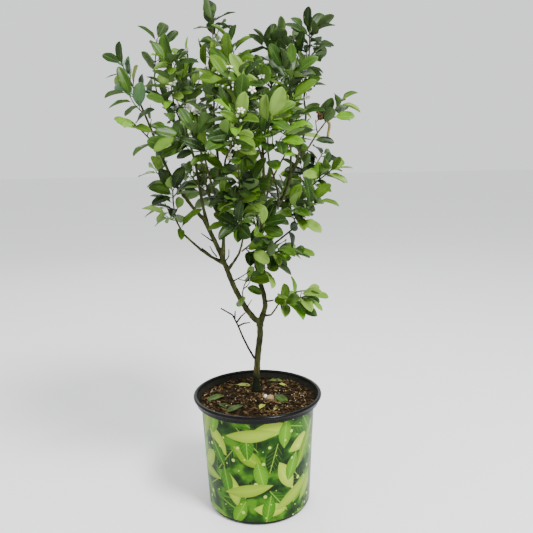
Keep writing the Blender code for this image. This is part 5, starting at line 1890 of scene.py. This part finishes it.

# %% [markdown]
# The flowers are small white stars of five waxy petals that bend back, round a ring of
# yellowish stamens with thicker tips. Closed buds stand beside them.

# %% Blossom
PETALS = 5
PETAL_STATIONS = ((0.0010, 0.0004, 0.0009), (0.0032, 0.0022, 0.0022), (0.0058, 0.0026, 0.0026),
                  (0.0078, 0.0016, 0.0012))
STAMENS = 9
STAMEN_LENGTH = 0.0042
BUD_STALK = 0.0075
BUD_SPREAD = 0.75
BUD_MARKS = (0.0, 0.0014, 0.0036, 0.0056, 0.0066)
BUD_RADII = (0.0010, 0.0019, 0.0024, 0.0016, 0.0005)
PETAL_TONES = ((0.62, 0.64, 0.52), (0.84, 0.85, 0.78))
STAMEN_TONES = ((0.62, 0.52, 0.16), (0.86, 0.74, 0.30))
BUD_TONES = ((0.50, 0.56, 0.34), (0.80, 0.82, 0.68))


def flower_axes(flower):
    """A flower's foot, its axis and two directions square to that."""
    side = unit(np.cross(flower.along, (0.31, 0.95, 0.05)))
    return flower.stalk.points[-1], flower.along, side, np.cross(flower.along, side)


def petals(flower):
    """Five thin closed petals, bent back at their tips."""
    foot, axis, side, other = flower_axes(flower)
    shapes = []
    for k in range(PETALS):
        turn = k * math.tau / PETALS
        out = side * math.cos(turn) + other * math.sin(turn)
        cross = np.cross(axis, out)
        corners = []
        for reach, lift, half in PETAL_STATIONS:
            middle = foot + out * reach + axis * lift
            for s, t in ((-1, 0.0), (0, 0.00025), (1, 0.0), (0, -0.00025)):
                corners.append(middle + cross * half * s + axis * (t + abs(s) * 0.0004))
        faces = [(4 * k + s, 4 * k + (s + 1) % 4, 4 * k + 4 + (s + 1) % 4, 4 * k + 4 + s)
                 for k in range(len(PETAL_STATIONS) - 1) for s in range(4)]
        last = 4 * (len(PETAL_STATIONS) - 1)
        faces += [(3, 2, 1, 0), (last, last + 1, last + 2, last + 3)]
        shapes.append((np.array(corners), faces))
    return shapes


def stamens(flower):
    """A ring of thin stamens."""
    foot, axis, side, other = flower_axes(flower)
    shapes = []
    for k in range(STAMENS):
        turn = k * math.tau / STAMENS
        out = side * math.cos(turn) + other * math.sin(turn)
        tip = foot + axis * STAMEN_LENGTH + out * 0.0014
        points = np.array((foot, (foot + tip) / 2 + out * 0.0003, tip))
        shapes.append(tube(points, (0.00018, 0.00018, 0.00042), 4))
    return shapes


def buds(flower):
    """Two closed buds on stalks of their own beside the flower."""
    _, axis, side, other = flower_axes(flower)
    spot = flower.stalk.points[0]
    stems, heads = [], []
    for out in (side, other - side * 0.6):
        way = unit(axis + out * BUD_SPREAD)
        tip = spot + way * BUD_STALK
        stems.append(tube(np.array((spot, (spot + tip) / 2, tip)), (0.0005, 0.0006, 0.0009), 6))
        heads.append(tube(tip + way * np.array(BUD_MARKS)[:, None], BUD_RADII, 8))
    return stems, heads


def make_blossom():
    """Stalks, buds, petals and stamens, each kind one piece."""
    flowers = [flower for grower in GROWTHS.values() for flower in grower.blossoms]
    stalks = [tube(f.stalk.points, (0.0007, 0.0010), 6) for f in flowers]
    closed = []
    for flower in flowers:
        stems, heads = buds(flower)
        stalks += stems
        closed += heads
    dress(mesh_of("blossom_stalks", stalks, grained("blossom_stalk", SHOOT_TONES, 0.6, 200.0, 0.2)),
          "leaves")
    white = [shape for f in flowers for shape in petals(f)]
    dress(mesh_of("blossom_petals", white, grained("petal", PETAL_TONES, 0.45, 300.0, 0.1)), "leaves")
    dress(mesh_of("blossom_buds", closed, grained("bud", BUD_TONES, 0.5, 300.0, 0.1)), "leaves")
    gold = [shape for f in flowers for shape in stamens(f)]
    dress(mesh_of("blossom_stamens", gold, grained("stamen", STAMEN_TONES, 0.6, 300.0, 0.1)), "leaves")


make_blossom()

# %% [markdown]
# Thin bare twigs cross between the boughs, stubs stand where others broke off, and a dry
# curled stick hangs from the outermost shoot. Each is a short tube through a few points.

# %% Bare twigs
Twiglet = namedtuple("Twiglet", "thick thin points")
TWIGLETS = {
    "left_pair_low": Twiglet(0.0012, 0.0008, ((-0.088, -0.029, 0.555), (-0.106, -0.034, 0.572))),
    "left_pair_high": Twiglet(0.0012, 0.0007, ((-0.077, -0.024, 0.552), (-0.084, -0.032, 0.563),
                                               (-0.090, -0.036, 0.576))),
    "left_high": Twiglet(0.0013, 0.0007, ((-0.085, -0.023, 0.584), (-0.094, -0.031, 0.592),
                                          (-0.106, -0.036, 0.602))),
    "left_short": Twiglet(0.0012, 0.0008, ((-0.061, -0.014, 0.540), (-0.053, -0.022, 0.552),
                                           (-0.052, -0.026, 0.567))),
    "cross_high": Twiglet(0.0012, 0.0007, ((-0.047, -0.001, 0.495), (-0.026, -0.006, 0.507),
                                           (-0.010, -0.004, 0.518))),
    "cross_low": Twiglet(0.0011, 0.0007, ((-0.020, -0.011, 0.494), (-0.009, 0.001, 0.501),
                                          (0.004, 0.020, 0.507))),
    "right_inner": Twiglet(0.0011, 0.0007, ((0.013, 0.024, 0.476), (0.006, 0.016, 0.491),
                                            (-0.007, 0.006, 0.513))),
    "fork_inner": Twiglet(0.0011, 0.0006, ((-0.019, 0.010, 0.434), (-0.014, 0.003, 0.444),
                                           (-0.008, 0.000, 0.454))),
    "fork_stub": Twiglet(0.0017, 0.0013, ((0.020, 0.019, 0.446), (0.030, 0.012, 0.448),
                                          (0.038, 0.006, 0.451))),
    "middle_stub": Twiglet(0.0016, 0.0011, ((0.023, 0.047, 0.756), (0.030, 0.034, 0.762),
                                            (0.034, 0.026, 0.767))),
    "spire_tip": Twiglet(0.0011, 0.0006, ((-0.123, 0.010, 0.948), (-0.124, 0.008, 0.957),
                                          (-0.122, 0.008, 0.966))),
}
TWIGLET_SWELL = 1.25
DRY_STICK = Twiglet(0.0023, 0.0019, ((0.1505, -0.0250, 0.8180), (0.1538, -0.0260, 0.8110),
                                     (0.1520, -0.0265, 0.7990), (0.1500, -0.0265, 0.7880),
                                     (0.1482, -0.0260, 0.7765)))
STICK_TONES = ((0.050, 0.038, 0.010), (0.170, 0.130, 0.045), (0.300, 0.245, 0.100))
CURLED = (((0.1290, -0.0260, 0.8358), (0.1325, -0.0300, 0.8325), (0.1345, -0.0280, 0.8270)),
          ((0.1345, -0.0250, 0.8330), (0.1380, -0.0280, 0.8300), (0.1385, -0.0300, 0.8240)),
          ((0.1310, -0.0240, 0.8290), (0.1350, -0.0220, 0.8270), (0.1400, -0.0250, 0.8215)),
          ((0.1370, -0.0300, 0.8260), (0.1330, -0.0310, 0.8235), (0.1320, -0.0280, 0.8205)))
CURLED_TONES = ((0.016, 0.008, 0.004), (0.060, 0.032, 0.014), (0.150, 0.090, 0.045))


def twiglet_tube(twiglet):
    """A smooth bent tube for one bare twig."""
    path = smooth(twiglet.points)
    marks = np.linspace(0, path.length, max(6, round(path.length / 0.003)))
    radii = np.interp(marks, (0, path.length), (twiglet.thick, twiglet.thin)) * TWIGLET_SWELL
    knots = 1 + 0.18 * np.exp(-((((marks / 0.010) % 1.0) - 0.5) / 0.16) ** 2)
    return tube([path.at(mark)[0] for mark in marks], radii * knots, 7)


def make_bare_twigs():
    """The bare twigs in one piece, and the dry stick in another."""
    wood = grained("bare_wood", DEAD_TONES, 0.8, 260.0, 0.4, stretch=(1.0, 1.0, 0.4))
    dress(mesh_of("bare_twigs", [twiglet_tube(t) for t in TWIGLETS.values()], wood), "bark")
    dry = grained("dry_wood", STICK_TONES, 0.9, 300.0, 0.4)
    dress(mesh_of("dry_stick", [twiglet_tube(DRY_STICK)], dry), "dead_wood")
    brown = grained("withered", CURLED_TONES, 0.9, 400.0, 0.5)
    withered = [twiglet_tube(Twiglet(0.0021, 0.0009, points)) for points in CURLED]
    dress(mesh_of("withered_tuft", withered, brown), "dead_wood")


make_bare_twigs()

# %% [markdown]
# A few leaves have dropped onto the soil. They lie flat, some yellowed, at places read off
# the real pot, and take the same leaf shapes.

# %% Fallen leaves
Fallen = namedtuple("Fallen", "x y length turn tone")
FALLEN = (Fallen(-0.051, 0.061, 0.036, -13, "yellow"), Fallen(0.024, 0.083, 0.035, 12, "pale"),
          Fallen(0.045, 0.066, 0.028, -30, "yellow"), Fallen(0.036, -0.003, 0.047, -59, "fresh"),
          Fallen(-0.110, -0.024, 0.048, 46, "mid"), Fallen(-0.026, -0.055, 0.045, -145, "dark"),
          Fallen(-0.087, -0.037, 0.047, -44, "dark"))
SLIPS = (Fallen(0.003, -0.078, 0.026, 68, "yellow"), Fallen(0.032, -0.082, 0.019, 63, "yellow"))
FALLEN_TONES = {"yellow": (0.260, 0.300, 0.040), "pale": (0.080, 0.120, 0.022),
                "fresh": (0.026, 0.060, 0.005), "mid": (0.022, 0.048, 0.004),
                "dark": (0.011, 0.024, 0.003)}
FALLEN_GLOSS = 0.05
FALLEN_CURL = 0.10


def lying(fallen):
    """A leaf that lies on the soil, its root down and its face up."""
    turn = math.radians(fallen.turn)
    way = np.array((math.cos(turn), math.sin(turn), 0.0))
    root = np.array((fallen.x, fallen.y, 0.0))
    tip = root + way * fallen.length
    lift = fallen.length * FALLEN_CURL + 0.002
    root[2] = soil_height(root[0], root[1]) + 0.003
    tip[2] = soil_height(tip[0], tip[1]) + lift
    along = unit(tip - root)
    normal = unit(UP - along * along.dot(UP))
    return Leaf(root, along, np.cross(along, normal), normal, fallen.length, 0)


for tone, colour in FALLEN_TONES.items():
    pile = [lying(fallen) for fallen in FALLEN + SLIPS if fallen.tone == tone]
    finishes = leaf_finishes(f"fallen_{tone}", colour, FALLEN_GLOSS)
    dealt(f"fallen_{tone}", pile, [(2 + k) % 4 for k in range(len(pile))], finishes, "leaves")

# %% [markdown]
# One pale lump of bark and a white one beside it lie in front of the trunk, larger than the
# scattered chips.

# %% Pale lumps
LUMPS = {"pale_lump": (0.0270, -0.0275, 0.018, 0.013, 0.4, ((0.150, 0.095, 0.040),
                                                         (0.360, 0.270, 0.150))),
         "white_lump": (0.0170, -0.0215, 0.011, 0.010, 1.1, ((0.520, 0.460, 0.360),
                                                          (0.800, 0.740, 0.620)))}


def make_lumps():
    """Two faceted lumps, half sunk into the soil."""
    for name, (x, y, length, width, turn, tones) in LUMPS.items():
        shape = bmesh.new()
        bmesh.ops.create_icosphere(shape, subdivisions=2, radius=0.5)
        rng = random.Random(name)
        for corner in shape.verts:
            corner.co *= rng.uniform(0.80, 1.10)
            corner.co = Vector((corner.co.x * length, corner.co.y * width, corner.co.z * width))
        bmesh.ops.rotate(shape, verts=shape.verts, matrix=Matrix.Rotation(turn, 3, "Z"))
        bmesh.ops.translate(shape, verts=shape.verts, vec=(x, y, soil_height(x, y) + 0.003))
        outwards(shape)
        mesh = bpy.data.meshes.new(name)
        shape.to_mesh(mesh)
        shape.free()
        mesh.materials.append(grained(name, tones, 0.9, 220.0, 0.6, gloss=0.05))
        dress(add_object(name, mesh), "soil")


make_lumps()

# %% [markdown]

# %% Finish
print("scene done")
